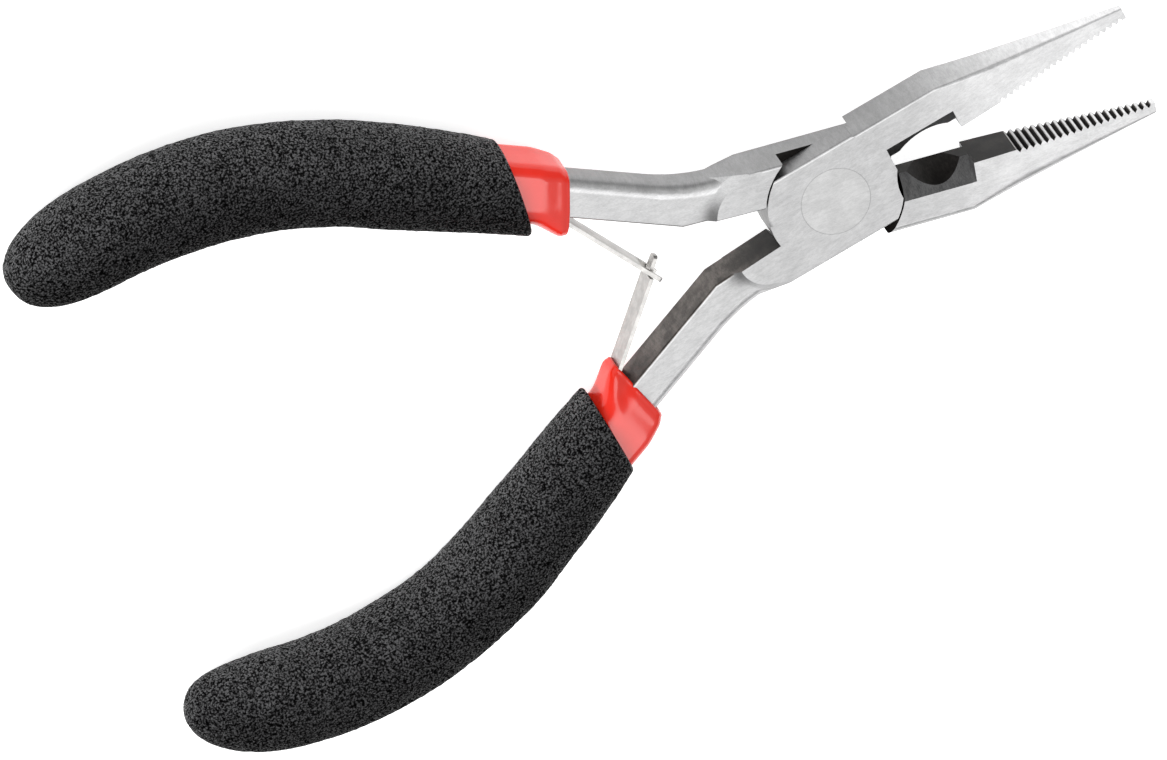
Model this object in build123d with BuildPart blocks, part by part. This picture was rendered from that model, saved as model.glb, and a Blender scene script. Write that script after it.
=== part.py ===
"""Needle nose pliers with side cutters, leaf return springs and foam grips.

Frame: the pivot axis is Z, the origin lies on it at the back face of the joint,
+X runs to the jaw tips and +Z points out of the front face. Each lever is drawn with
the pliers closed, as the front one, whose jaw is on the +Y side and whose handle is on
the -Y side. The back lever is the same shape turned over about X. Both are then turned
open by half the rest angle. Lengths are in millimetres.
"""
import os
from dataclasses import dataclass
from math import cos, pi, radians, sin, tan

from build123d import *

# ---- travel -------------------------------------------------------------------------
REST_OPENING = 17.0         # angle between the jaw faces with the springs relaxed
# ---- joint --------------------------------------------------------------------------
JOINT_THICK = 5.6
MID = JOINT_THICK / 2
LAP_GAP = 0.03              # half the gap between the two lapped plates
HUB_RADIUS = 7.6            # round plate of each lever
SHOULDER_RADIUS = 7.8       # hollow in the other lever that clears that plate
JOINT_HALF_WIDTH = 5.95
RIVET_RADIUS = 2.5
RIVET_HEAD_RADIUS = 3.85
RIVET_HEAD_DEPTH = 1.3
RUNNING_CLEARANCE = 0.05
# ---- jaws ---------------------------------------------------------------------------
JAW_TIP_X = 36.9
JAW_TIP_WIDTH = 1.35
NOSE_START_X = 15.0
TAPER_START_X = 14.3        # where the jaw's back leaves the straight side of the joint
JAW_FACE_GAP = 0.03         # each gripping face stands this far off the centre plane
TEETH_START_X = 20.6
TOOTH_PITCH = 0.8
TOOTH_DEPTH = 0.42
TOOTH_CREST = 0.14
TOOTH_COUNT = 20
# nose sections: distance along X, half thickness, front round, back round
NOSE_SECTIONS = [
    (NOSE_START_X, 2.80, 0.25, 0.90),
    (17.5, 2.69, 0.40, 1.25),
    (20.5, 2.50, 0.55, 1.50),
    (25.0, 1.97, 0.50, 1.20),
    (30.0, 1.37, 0.40, 0.85),
    (34.0, 0.90, 0.28, 0.55),
    (JAW_TIP_X, 0.54, 0.18, 0.30),
]
# ---- cutters ------------------------------------------------------------------------
CUTTER_START_X = 7.4
BEVEL_WIDTH = 2.3           # 45 degree bevel on the front side of both jaws
BEVEL_END_X = 15.65
SCOOP_X = 11.7
SCOOP_RADIUS = 5.2
SCOOP_TILT = 21.0
SCOOP_TOP_Y = 1.7           # where the scoop breaks out of the bevel
BACK_BEVEL_DEPTH = 1.3
BACK_BEVEL_WIDTH = 0.7
# ---- handles ------------------------------------------------------------------------
SHANK = 4.5                 # the shank is a square bar
INNER_ROOT_Y = 1.35         # inner face of the handle at the joint
SIDE_END_X = 7.5            # the joint's straight inner side ends here
RUNOUT_X = 9.1              # the joint's flats run out on a circle about this place
RUNOUT_START = 150.0        # direction in which that circle's arc starts
RUNOUT_TAIL = 25.0          # slope of the straight line that carries it to the outer side
RUNOUT_TAIL_LENGTH = 9.0
RUNOUT_SPREAD = 1.2         # sideways reach of the ramp below a flat, per depth
HANDLE_ROUND = 0.3          # along the straight sides of joint plate and handle root
SHANK_OUTER_ROUND = 1.5
SHANK_INNER_ROUND = 0.3
OUTER_BEND_RADIUS = 20.0
TANG_END_ANGLE = 36.0       # turn of the curved part of the tang
# ---- springs ------------------------------------------------------------------------
STRIP = 0.45
STRIP_WIDTH = 3.0
MOUTH_DISTANCE = 29.63      # pivot to the point where the leaf leaves its sleeve
MOUTH_ANGLE = 10.6          # direction of that point from -X, pliers closed
BLADE_LENGTH = 13.5
BLADE_GAP = 0.15            # gap between foot and blade at the flexing line
FOOT_LENGTH = 9.0
BLADE_TIP_ROUND = 0.4
TONGUE_WIDTH = 1.3
TONGUE_LENGTH = 2.3
SLOT_WIDTH = 1.7
SLOT_LENGTH = 3.0
SPRING_RIVET_RADIUS = 0.8
SPRING_RIVET_HEAD = 1.25
SPRING_RIVET_HEAD_HEIGHT = 0.4
SPRING_RIVET_PLACE = 5.5    # along the foot from its bend
# ---- sleeves and grips --------------------------------------------------------------
SLEEVE_HALF = 3.75          # half width and half height of the sleeve where the grip starts
SLEEVE_TUBE_HALF = 3.5      # the same further inside the grip
SLEEVE_ROUND = 1.6
SLEEVE_MOUTH_HALF = 3.0     # half height at the mouth
SLEEVE_MOUTH_OUTER = 2.95   # from the centreline to the mouth's outer side
SLEEVE_MOUTH_ROUND = 1.2
SLEEVE_LIP = 1.1            # the mouth's inner side stands this far over the leaf
SLEEVE_RIM_ROUND = 0.6
SLEEVE_MOUTH_SLANT = 10.0
SLEEVE_TAPER = 4.5          # length over which the mouth grows to the widest place
SLEEVE_NECK = 5.0           # length over which it narrows again under the grip
SLEEVE_END_ANGLE = 40.0
POCKET_PLAY = 0.1           # clearance round the spring's foot inside the sleeve
GRIP_END_ROUND = 3.2
GRIP_BULGE_START = 20.0     # the outer side starts to swell here, past the handle's bend
GRIP_BULGE_RUN = 14.0
# grip sections: distance past the handle's bend, half width, half height
GRIP_SECTIONS = [
    (14.5, 4.60, 4.45),
    (21.0, 4.75, 4.55),
    (26.0, 5.25, 5.00),
    (34.0, 5.55, 5.25),
    (50.0, 5.70, 5.40),
    (62.0, 5.60, 5.30),
    (69.0, 5.30, 5.00),
    (76.4, 3.90, 3.80),
]


@dataclass
class Handle:
    """Plan of one handle: where it bends, how far it splays, and its end curve."""

    bend_x: float
    bend_y: float
    splay: float
    straight: float
    curve: float
    grip_face_x: float
    grip_face_tilt: float
    grip_bulge: float
    runout_y: float
    runout_radius: float
    root_chamfer: float
    blade_angle: float

    def along(self) -> Vector:
        """Unit vector down the straight shank, away from the joint."""
        return Vector(-cos(radians(self.splay)), -sin(radians(self.splay)))

    def inward(self) -> Vector:
        """Unit vector square to the shank, towards the other handle."""
        return Vector(-sin(radians(self.splay)), cos(radians(self.splay)))

    def on_straight(self, distance: float, offset: float) -> Vector:
        """Point at a distance past the bend, offset inwards from the centreline."""
        bend = Vector(-self.bend_x, -self.bend_y) - self.inward() * (SHANK / 2)
        return bend + self.along() * distance + self.inward() * offset

    def centre_of_curve(self) -> Vector:
        """Centre of the arc that the handle's end follows."""
        return self.on_straight(self.straight, self.curve)

    def on_curve(self, angle: float, offset: float) -> Vector:
        """Point on the end curve after a turn in degrees, offset inwards."""
        outward = (self.inward() * -1).rotate(Axis.Z, -angle)
        return self.centre_of_curve() + outward * (self.curve - offset)

    def distance_of(self, point: Vector) -> float:
        """How far past the bend a point lies, measured down the shank."""
        return (point - self.on_straight(0, 0)).dot(self.along())

    def rise_of(self, point: Vector) -> float:
        """How far inwards of the centreline a point lies."""
        return (point - self.on_straight(0, 0)).dot(self.inward())

    def square_to(self, distance: float, offset: float) -> Plane:
        """Plane square to the centreline, at a distance past the bend along it."""
        turn = max(0.0, distance - self.straight) / self.curve * 180 / pi
        centre = self.on_curve(turn, offset) if turn else self.on_straight(distance, offset)
        return Plane((centre.X, centre.Y, MID), x_dir=self.inward().rotate(Axis.Z, -turn),
                     z_dir=self.along().rotate(Axis.Z, -turn))

    def leaf(self) -> Vector:
        """Unit vector along the leaf spring from the sleeve's mouth to its tip."""
        return Vector(cos(radians(self.blade_angle)), sin(radians(self.blade_angle)))


FRONT_HANDLE = Handle(bend_x=15.6, bend_y=1.8, splay=22.9, straight=37.5, curve=40.0,
                      grip_face_x=33.4, grip_face_tilt=0.0, grip_bulge=0.5, runout_y=1.6,
                      runout_radius=3.4, root_chamfer=0.7, blade_angle=45.0)
BACK_HANDLE = Handle(bend_x=16.8, bend_y=1.55, splay=21.6, straight=36.0, curve=48.0,
                     grip_face_x=34.2, grip_face_tilt=-12.0, grip_bulge=0.0, runout_y=1.1,
                     runout_radius=4.1, root_chamfer=0.1, blade_angle=47.0)


def back_of_jaw(x: float) -> float:
    """Half width of the nose at a distance along X."""
    taper = (JOINT_HALF_WIDTH - JAW_TIP_WIDTH) / (JAW_TIP_X - TAPER_START_X)
    return JOINT_HALF_WIDTH - max(0.0, x - TAPER_START_X) * taper


def mouth_point() -> Vector:
    """Where the leaf leaves the sleeve and starts to flex."""
    angle = radians(MOUTH_ANGLE)
    return Vector(-MOUTH_DISTANCE * cos(angle), -MOUTH_DISTANCE * sin(angle))


def foot_bend(handle: Handle) -> Vector:
    """Where the leaf meets the shank's inner face and turns to lie on it."""
    height = handle.rise_of(mouth_point()) - (SHANK + STRIP) / 2
    return mouth_point() - handle.leaf() * (height / handle.leaf().dot(handle.inward()))


def jaw_section(x: float, half: float, front_round: float, back_round: float) -> Sketch:
    """Cross-section of the jaw: flat faces, with its two back corners rounded."""
    width = back_of_jaw(x)
    with BuildSketch(Plane.YZ.offset(x)) as section:
        with Locations((width / 2, MID)):
            Rectangle(width, 2 * half)
        fillet(section.vertices().group_by(Axis.X)[-1].sort_by(Axis.Y)[0], back_round)
        fillet(section.vertices().group_by(Axis.X)[-1].sort_by(Axis.Y)[-1], front_round)
    return section.sketch


def shank_bar(handle: Handle) -> BuildPart:
    """Shank and tang: a square bar with a rounded outer side, from joint to butt."""
    outer_bend = handle.on_straight(0, -SHANK / 2)
    corner_x = outer_bend.X - (JOINT_HALF_WIDTH + outer_bend.Y) / tan(radians(handle.splay))
    arc_start_x = corner_x + OUTER_BEND_RADIUS * tan(radians(handle.splay / 2))
    with BuildPart() as bar:
        with BuildSketch(Plane.XY.offset(MID - SHANK / 2)):
            with BuildLine():
                root = Line((-SIDE_END_X, -INNER_ROOT_Y), (-handle.bend_x, -handle.bend_y))
                inner = Line(root @ 1, handle.on_straight(handle.straight, SHANK / 2))
                inner_arc = JernArc(inner @ 1, handle.along(), handle.curve - SHANK / 2,
                                    -TANG_END_ANGLE)
                side = Line((-SIDE_END_X, -JOINT_HALF_WIDTH), (arc_start_x, -JOINT_HALF_WIDTH))
                bend = JernArc(side @ 1, (-1, 0), OUTER_BEND_RADIUS, handle.splay)
                outer = Line(bend @ 1, handle.on_straight(handle.straight, -SHANK / 2))
                outer_arc = JernArc(outer @ 1, handle.along(), handle.curve + SHANK / 2,
                                    -TANG_END_ANGLE)
                Line(inner_arc @ 1, outer_arc @ 1)
                Line(root @ 0, side @ 0)
            make_face()
        extrude(amount=SHANK)
        rims = bar.edges().filter_by(Plane.XY)
        fillet(rims_along(rims, [side, bend, outer, outer_arc]), SHANK_OUTER_ROUND)
        rims = bar.edges().filter_by(Plane.XY)
        fillet(rims_along(rims, [root, inner, inner_arc]), SHANK_INNER_ROUND)
    return bar


def rims_along(rims: ShapeList, lines: list) -> list:
    """Those edges that lie straight above or below one of the plan lines."""
    middles = [line @ 0.5 for line in lines]
    chosen = []
    for rim in rims:
        place = rim @ 0.5
        if any(abs(place.X - m.X) < 0.02 and abs(place.Y - m.Y) < 0.02 for m in middles):
            chosen.append(rim)
    return chosen


def runout_outline(handle: Handle, depth: float) -> Sketch:
    """Plan of a joint flat at its handle end, or of its ramp at a depth below the flat."""
    radius = handle.runout_radius + RUNOUT_SPREAD * depth
    tail_angle = radians(RUNOUT_TAIL)
    tail = Vector(cos(tail_angle), -sin(tail_angle)) * RUNOUT_TAIL_LENGTH
    with BuildSketch(Plane.XY.offset(JOINT_THICK - depth)) as outline:
        with BuildLine():
            arc = CenterArc((-RUNOUT_X, -handle.runout_y), radius, RUNOUT_START,
                            270 - RUNOUT_TAIL - RUNOUT_START)
            end = arc @ 1 + tail
            Polyline(arc @ 1, end, (1, end.Y), (1, (arc @ 0).Y), arc @ 0)
        make_face()
    return outline.sketch


def joint_root(handle: Handle) -> BuildPart:
    """Full-thickness part of the handle beside the joint, with its flats run out."""
    with BuildPart() as ramps:
        loft([runout_outline(handle, 0), runout_outline(handle, MID)], ruled=True)
        mirror(about=Plane.XY.offset(MID))
    with BuildPart() as root:
        with BuildSketch():
            with BuildLine():
                Polyline((0, -INNER_ROOT_Y), (-SIDE_END_X, -INNER_ROOT_Y),
                         (-handle.bend_x, -handle.bend_y), (-handle.bend_x, -JOINT_HALF_WIDTH),
                         (0, -JOINT_HALF_WIDTH), close=True)
            make_face()
        extrude(amount=JOINT_THICK)
        sides = root.faces().sort_by(Axis.Y)[0].edges().filter_by(Axis.X)
        fillet(sides, HANDLE_ROUND)
        inner = root.edges().group_by(Axis.Z)[0].filter_by(Axis.X, reverse=True).sort_by(Axis.Y)[-1]
        chamfer(inner, handle.root_chamfer)
        add(ramps.part, mode=Mode.INTERSECT)
    return root


def joint_plate() -> BuildPart:
    """Round plate of the joint with its two straight sides."""
    with BuildPart() as plate:
        with BuildSketch(Plane.XY.offset(MID)):
            Circle(HUB_RADIUS)
            Rectangle(3 * HUB_RADIUS, 2 * JOINT_HALF_WIDTH, mode=Mode.INTERSECT)
        extrude(amount=MID)
        fillet(plate.edges().group_by(Axis.Z)[-1].filter_by(Axis.X), HANDLE_ROUND)
    return plate


def jaw_blank() -> BuildPart:
    """Jaw from the joint to the tip, with its toothed gripping face."""
    with BuildPart() as jaw:
        first = jaw_section(*NOSE_SECTIONS[0])
        extrude(first, amount=-NOSE_START_X, dir=(1, 0, 0))
        loft([jaw_section(*station) for station in NOSE_SECTIONS], ruled=True)
        with BuildSketch(Plane.XY.offset(-1)):
            with Locations((0, -1)):
                Rectangle(2.2 * JAW_TIP_X, 2 * (1 + JAW_FACE_GAP))
            for index in range(TOOTH_COUNT):
                left = TEETH_START_X + index * TOOTH_PITCH
                with BuildLine():
                    Polyline((left, 0), (left + (TOOTH_PITCH - TOOTH_CREST) / 2,
                                         JAW_FACE_GAP + TOOTH_DEPTH),
                             (left + TOOTH_PITCH - TOOTH_CREST, 0), close=True)
                make_face()
        extrude(amount=JOINT_THICK + 2, mode=Mode.SUBTRACT)
    return jaw


def bevel_space() -> BuildPart:
    """Space in front of a jaw's cutting edge: a bevel, a back bevel and a round scoop."""
    with BuildPart() as space:
        with BuildSketch(Plane.YZ.offset(CUTTER_START_X)):
            with BuildLine():
                Polyline((-1, JOINT_THICK - BEVEL_WIDTH - 1), (-1, JOINT_THICK + 1),
                         (BEVEL_WIDTH + 1, JOINT_THICK + 1), close=True)
            make_face()
            with BuildLine():
                Polyline((-1, BACK_BEVEL_DEPTH), (-1, -1), (BACK_BEVEL_WIDTH, -1),
                         (BACK_BEVEL_WIDTH, 0), (0, BACK_BEVEL_DEPTH), close=True)
            make_face()
        extrude(amount=BEVEL_END_X - CUTTER_START_X)
        lean = radians(SCOOP_TILT)
        scoop_mouth = (SCOOP_X, SCOOP_TOP_Y, JOINT_THICK - BEVEL_WIDTH + SCOOP_TOP_Y)
        scoop_plane = Plane(scoop_mouth, x_dir=(1, 0, 0), z_dir=(0, sin(lean), cos(lean)))
        with BuildSketch(scoop_plane):
            with Locations((0, -SCOOP_RADIUS)):
                Circle(SCOOP_RADIUS)
        extrude(amount=JOINT_THICK, both=True)
    return space


def rivet_hole(clearance: float) -> BuildPart:
    """Countersunk hole in a joint plate, drawn from the plate's outer face inwards."""
    with BuildPart() as hole:
        with BuildSketch(Plane.XZ):
            with BuildLine():
                Polyline((0, MID - 1), (RIVET_RADIUS + clearance, MID - 1),
                         (RIVET_RADIUS + clearance, JOINT_THICK - RIVET_HEAD_DEPTH),
                         (RIVET_HEAD_RADIUS + clearance, JOINT_THICK), (0, JOINT_THICK),
                         close=True)
            make_face()
        revolve(axis=Axis.Z)
    return hole


def spring_rivet_plane(handle: Handle) -> Plane:
    """Plane on the tang's inner face under the spring's rivet, facing inwards."""
    foot_axis = foot_bend(handle) + handle.along() * SPRING_RIVET_PLACE
    seat = foot_axis - handle.inward() * (STRIP / 2)
    return Plane((seat.X, seat.Y, MID), x_dir=handle.along(), z_dir=handle.inward())


def make_lever(handle: Handle, bevel_on_front: bool, hole_clearance: float) -> BuildPart:
    """One whole lever: jaw, lapped joint plate, shank and tang in one forging."""
    jaw = jaw_blank()
    root = joint_root(handle)
    bar = shank_bar(handle)
    bevel = bevel_space().part
    if not bevel_on_front:
        bevel = mirror(bevel, about=Plane.XY.offset(MID))
    hole = rivet_hole(hole_clearance)
    with BuildPart() as lever:
        add(jaw.part)
        add(root.part)
        add(bar.part)
        add(joint_plate().part)
        with BuildSketch(Plane.XY.offset(-1)):
            Circle(SHOULDER_RADIUS)
        extrude(amount=1 + MID + LAP_GAP, mode=Mode.SUBTRACT)
        add(bevel, mode=Mode.SUBTRACT)
        add(hole.part, mode=Mode.SUBTRACT)
        with BuildSketch(spring_rivet_plane(handle)):
            Circle(SPRING_RIVET_RADIUS)
        extrude(amount=-2 * SHANK, mode=Mode.SUBTRACT)
    return lever


def make_pivot_rivet() -> BuildPart:
    """Pivot rivet with two flush countersunk heads, fixed in the front lever."""
    with BuildPart() as rivet:
        with BuildSketch(Plane.XZ):
            with BuildLine():
                Polyline((0, 0), (RIVET_HEAD_RADIUS, 0), (RIVET_RADIUS, RIVET_HEAD_DEPTH),
                         (RIVET_RADIUS, JOINT_THICK - RIVET_HEAD_DEPTH),
                         (RIVET_HEAD_RADIUS, JOINT_THICK), (0, JOINT_THICK), close=True)
            make_face()
        revolve(axis=Axis.Z)
    return rivet


def make_spring_foot(handle: Handle) -> BuildPart:
    """Part of a leaf spring that is held still: its bend and the foot on the tang."""
    bend = foot_bend(handle)
    with BuildPart() as foot:
        with BuildSketch(Plane.XY.offset(MID - STRIP_WIDTH / 2)):
            with BuildLine():
                Polyline(mouth_point(), bend, bend + handle.along() * FOOT_LENGTH)
            trace(line_width=STRIP)
        extrude(amount=STRIP_WIDTH)
        with BuildSketch(spring_rivet_plane(handle)):
            Circle(SPRING_RIVET_RADIUS)
        extrude(amount=2 * STRIP, mode=Mode.SUBTRACT)
    return foot


def make_spring_rivet(handle: Handle) -> BuildPart:
    """Small rivet that holds a spring's foot: a round head and a shank through the tang."""
    seat = spring_rivet_plane(handle)
    with BuildPart() as rivet:
        with BuildSketch(seat.offset(-SHANK)):
            Circle(SPRING_RIVET_RADIUS)
        extrude(amount=SHANK + STRIP)
        with BuildSketch(seat.offset(STRIP)):
            Circle(SPRING_RIVET_HEAD)
        extrude(amount=SPRING_RIVET_HEAD_HEIGHT)
        fillet(rivet.edges().filter_by(GeomType.CIRCLE).sort_by(Axis(seat.origin, seat.z_dir))[-1],
               SPRING_RIVET_HEAD_HEIGHT / 2)
    return rivet


def make_blade(handle: Handle, forked: bool) -> BuildPart:
    """Free part of a leaf spring, whose tip is an open fork or a narrow tongue."""
    plane = Plane((mouth_point().X, mouth_point().Y, MID), x_dir=handle.leaf(),
                  z_dir=handle.leaf().rotate(Axis.Z, 90))
    with BuildPart() as blade:
        with BuildSketch(plane.offset(-STRIP / 2)) as outline:
            with Locations((BLADE_GAP, 0)):
                if forked:
                    Rectangle(BLADE_LENGTH - BLADE_GAP, STRIP_WIDTH, align=(Align.MIN, Align.CENTER))
                else:
                    Rectangle(BLADE_LENGTH - BLADE_GAP - TONGUE_LENGTH, STRIP_WIDTH,
                              align=(Align.MIN, Align.CENTER))
                    Rectangle(BLADE_LENGTH - BLADE_GAP, TONGUE_WIDTH, align=(Align.MIN, Align.CENTER))
            if forked:
                with Locations((BLADE_LENGTH, 0)):
                    Rectangle(SLOT_LENGTH, SLOT_WIDTH, align=(Align.MAX, Align.CENTER),
                              mode=Mode.SUBTRACT)
            tip = outline.vertices().group_by(Axis.X)[-1].sort_by(Axis.Y)
            fillet([tip[0], tip[-1]], BLADE_TIP_ROUND)
        extrude(amount=STRIP)
    return blade


def foot_pocket(handle: Handle) -> Sketch:
    """Plan of the room inside a sleeve for the spring's foot, its bend and its rivet."""
    mouth = handle.distance_of(mouth_point())
    rise = handle.rise_of(mouth_point())
    bend = handle.distance_of(foot_bend(handle))
    floor = SHANK / 2
    roof = floor + STRIP + SPRING_RIVET_HEAD_HEIGHT + POCKET_PLAY
    with BuildSketch(Plane.XY.offset(MID - STRIP_WIDTH / 2 - POCKET_PLAY)) as pocket:
        with BuildLine():
            Polyline(handle.on_straight(mouth - 2, floor - 0.5),
                     handle.on_straight(mouth - 2, rise + STRIP + 1.0),
                     handle.on_straight(mouth, rise + STRIP),
                     handle.on_straight(bend + 1, roof),
                     handle.on_straight(bend + FOOT_LENGTH + POCKET_PLAY, roof),
                     handle.on_straight(bend + FOOT_LENGTH + POCKET_PLAY, floor - 0.5),
                     close=True)
        make_face()
    return pocket.sketch


def sleeve_skin(handle: Handle) -> BuildPart:
    """Outer shape of a sleeve: a rounded square tube that narrows to a slanted mouth."""
    mouth = handle.distance_of(mouth_point()) + POCKET_PLAY
    inner = handle.rise_of(mouth_point()) + SLEEVE_LIP
    middle = (inner - SLEEVE_MOUTH_OUTER) / 2
    setback = tan(radians(SLEEVE_MOUTH_SLANT)) * (inner + SLEEVE_MOUTH_OUTER) / 2
    tube_start = mouth + SLEEVE_TAPER + SLEEVE_NECK
    mouth_plane = handle.square_to(mouth + setback, middle)
    mouth_plane = Plane(mouth_plane.origin,
                        x_dir=mouth_plane.x_dir.rotate(Axis.Z, -SLEEVE_MOUTH_SLANT),
                        z_dir=mouth_plane.z_dir.rotate(Axis.Z, -SLEEVE_MOUTH_SLANT))
    with BuildPart() as skin:
        with BuildSketch(mouth_plane) as narrow:
            RectangleRounded(inner + SLEEVE_MOUTH_OUTER, 2 * SLEEVE_MOUTH_HALF, SLEEVE_MOUTH_ROUND)
        with BuildSketch(handle.square_to(mouth + SLEEVE_TAPER, 0)) as wide:
            RectangleRounded(2 * SLEEVE_HALF, 2 * SLEEVE_HALF, SLEEVE_ROUND)
        with BuildSketch(handle.square_to(tube_start, 0)) as tube:
            RectangleRounded(2 * SLEEVE_TUBE_HALF, 2 * SLEEVE_TUBE_HALF, SLEEVE_ROUND)
        loft([narrow.sketch, wide.sketch])
        loft([wide.sketch, tube.sketch])
        rim = skin.faces().sort_by(Axis(mouth_plane.origin, mouth_plane.z_dir))[0]
        fillet(rim.edges(), SLEEVE_RIM_ROUND)
        with BuildLine(Plane.XY.offset(MID)) as run:
            straight = Line(handle.on_straight(tube_start, 0),
                            handle.on_straight(handle.straight, 0))
            JernArc(straight @ 1, handle.along(), handle.curve, -SLEEVE_END_ANGLE)
        sweep(tube.sketch, path=run.wire())
    return skin


def make_inner_sleeve(handle: Handle) -> BuildPart:
    """Dipped vinyl sleeve on the tang, with room for the spring's foot."""
    skin = sleeve_skin(handle)
    bar = shank_bar(handle)
    with BuildPart() as sleeve:
        add(skin.part)
        add(bar.part, mode=Mode.SUBTRACT)
        extrude(foot_pocket(handle), amount=STRIP_WIDTH + 2 * POCKET_PLAY, mode=Mode.SUBTRACT)
    return sleeve


def make_grip(handle: Handle) -> BuildPart:
    """Soft grip over the sleeve: an oval bar with a cut mouth and a rounded butt."""
    skin = sleeve_skin(handle)
    sections = []
    for distance, half_width, half_height in GRIP_SECTIONS:
        swell = min(1.0, max(0.0, (distance - GRIP_BULGE_START) / GRIP_BULGE_RUN))
        with BuildSketch(handle.square_to(distance, -handle.grip_bulge * swell)) as section:
            Ellipse(half_width, half_height)
        sections.append(section.sketch)
    butt = handle.square_to(GRIP_SECTIONS[-1][0], 0)
    tilt = radians(handle.grip_face_tilt)
    with BuildPart() as grip:
        loft(sections)
        fillet(grip.edges().sort_by(Axis(butt.origin, butt.z_dir))[-1], GRIP_END_ROUND)
        split(bisect_by=Plane((-handle.grip_face_x, -12, MID), z_dir=(-cos(tilt), -sin(tilt), 0)))
        add(skin.part, mode=Mode.SUBTRACT)
    return grip


FRONT_PLACE = Location((0, 0, 0), (0, 0, REST_OPENING / 2))
BACK_PLACE = (Location((0, 0, 0), (0, 0, -REST_OPENING / 2))
              * Location((0, 0, JOINT_THICK), (180, 0, 0)))


def main() -> None:
    """Make every piece, turn it to its place at rest and write it."""
    front_lever = make_lever(FRONT_HANDLE, True, 0)
    back_lever = make_lever(BACK_HANDLE, False, RUNNING_CLEARANCE)
    pieces = {
        "front_lever": (front_lever, FRONT_PLACE),
        "back_lever": (back_lever, BACK_PLACE),
        "pivot_rivet": (make_pivot_rivet(), FRONT_PLACE),
        "front_spring_blade": (make_blade(FRONT_HANDLE, False), FRONT_PLACE),
        "back_spring_blade": (make_blade(BACK_HANDLE, True), BACK_PLACE),
    }
    for side, handle, place in (("front", FRONT_HANDLE, FRONT_PLACE),
                                ("back", BACK_HANDLE, BACK_PLACE)):
        pieces[side + "_spring_foot"] = (make_spring_foot(handle), place)
        pieces[side + "_spring_rivet"] = (make_spring_rivet(handle), place)
        pieces[side + "_inner_sleeve"] = (make_inner_sleeve(handle), place)
        pieces[side + "_grip"] = (make_grip(handle), place)
    os.makedirs("parts", exist_ok=True)
    for name, (piece, place) in pieces.items():
        piece.part.label = name
        piece.part.locate(place)
        export_step(piece.part, f"parts/{name}.step")
    mouth = FRONT_PLACE * Location(mouth_point())
    print("spring flexing line, front lever:", mouth.position)


main()
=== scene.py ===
"""Looks of the needle nose pliers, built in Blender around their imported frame.

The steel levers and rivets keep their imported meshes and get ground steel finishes. The foam
grips, the vinyl sleeves and the leaf springs are made here as surfaces worked out with numpy.
Every shape is drawn in its lever's closed frame, in millimetres, then placed at rest in metres.
"""

import logging
from dataclasses import dataclass
from enum import Enum
from math import cos, pi, radians, sin, tan

import bmesh
import bpy
import numpy as np
from mathutils import Matrix, Vector

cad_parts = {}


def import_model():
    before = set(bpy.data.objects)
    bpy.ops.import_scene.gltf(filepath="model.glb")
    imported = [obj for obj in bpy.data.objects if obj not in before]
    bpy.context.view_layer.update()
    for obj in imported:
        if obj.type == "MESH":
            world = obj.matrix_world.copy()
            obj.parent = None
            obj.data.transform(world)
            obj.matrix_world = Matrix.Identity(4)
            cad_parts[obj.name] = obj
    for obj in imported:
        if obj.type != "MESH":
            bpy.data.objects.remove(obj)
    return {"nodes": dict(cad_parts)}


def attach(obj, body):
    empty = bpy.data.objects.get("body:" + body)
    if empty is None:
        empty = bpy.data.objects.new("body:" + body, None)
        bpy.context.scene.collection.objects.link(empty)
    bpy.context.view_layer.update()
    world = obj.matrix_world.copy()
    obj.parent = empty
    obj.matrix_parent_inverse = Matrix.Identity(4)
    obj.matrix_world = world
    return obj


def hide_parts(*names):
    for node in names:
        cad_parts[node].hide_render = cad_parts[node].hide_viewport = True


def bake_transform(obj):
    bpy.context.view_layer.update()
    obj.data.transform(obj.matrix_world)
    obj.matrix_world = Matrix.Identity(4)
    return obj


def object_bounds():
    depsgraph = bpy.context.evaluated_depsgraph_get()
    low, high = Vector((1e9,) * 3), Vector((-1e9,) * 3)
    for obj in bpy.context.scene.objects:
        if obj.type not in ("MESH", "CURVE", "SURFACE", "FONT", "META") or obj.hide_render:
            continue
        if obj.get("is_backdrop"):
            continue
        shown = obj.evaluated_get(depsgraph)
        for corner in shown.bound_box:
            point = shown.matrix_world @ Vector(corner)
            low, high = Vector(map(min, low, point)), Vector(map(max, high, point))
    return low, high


LOG = logging.getLogger("pliers")
MM = 0.001                      # one millimetre in metres
JOINT_THICK = 5.6               # both joint plates together
MID = JOINT_THICK / 2           # height of the mid-plane
SHANK = 4.5                     # width of the shank and the tang
HALF_OPENING = radians(8.5)     # turn of each lever at rest


class Side(Enum):
    """The two levers: the front one carries the front plate of the lapped joint."""

    FRONT = "front"
    BACK = "back"


# ---- geometry helpers ---------------------------------------------------------------

def smoothstep(value: np.ndarray, low: float, high: float) -> np.ndarray:
    """Blend from 0 at low to 1 at high along 3t^2 - 2t^3.

    Args:
        value: Numbers to blend.
        low: Value that gives 0.
        high: Value that gives 1.

    Returns:
        Blend factors of the same shape as value.
    """
    share = np.clip((value - low) / (high - low), 0.0, 1.0)
    return share * share * (3.0 - 2.0 * share)


def soft_profile(place: np.ndarray, stations: list, column: int, window: float = 7.0,
                 samples: int = 15) -> np.ndarray:
    """Curve through given stations: straight runs, then averaged over a sliding window.

    Args:
        place: Where the curve is read.
        stations: Rows of a place followed by one or more values.
        column: Which value of each row is used, counted from 1.
        window: Width of the averaging window, in millimetres.
        samples: How many places in the window are averaged.

    Returns:
        The averaged value at each place.
    """
    table = np.array(stations)
    offsets = np.linspace(-window / 2, window / 2, samples)
    weights = 1.0 + np.cos(offsets / window * 2 * pi)
    found = np.interp(place[..., None] + offsets, table[:, 0], table[:, column])
    return (found * weights).sum(-1) / weights.sum()


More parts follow.
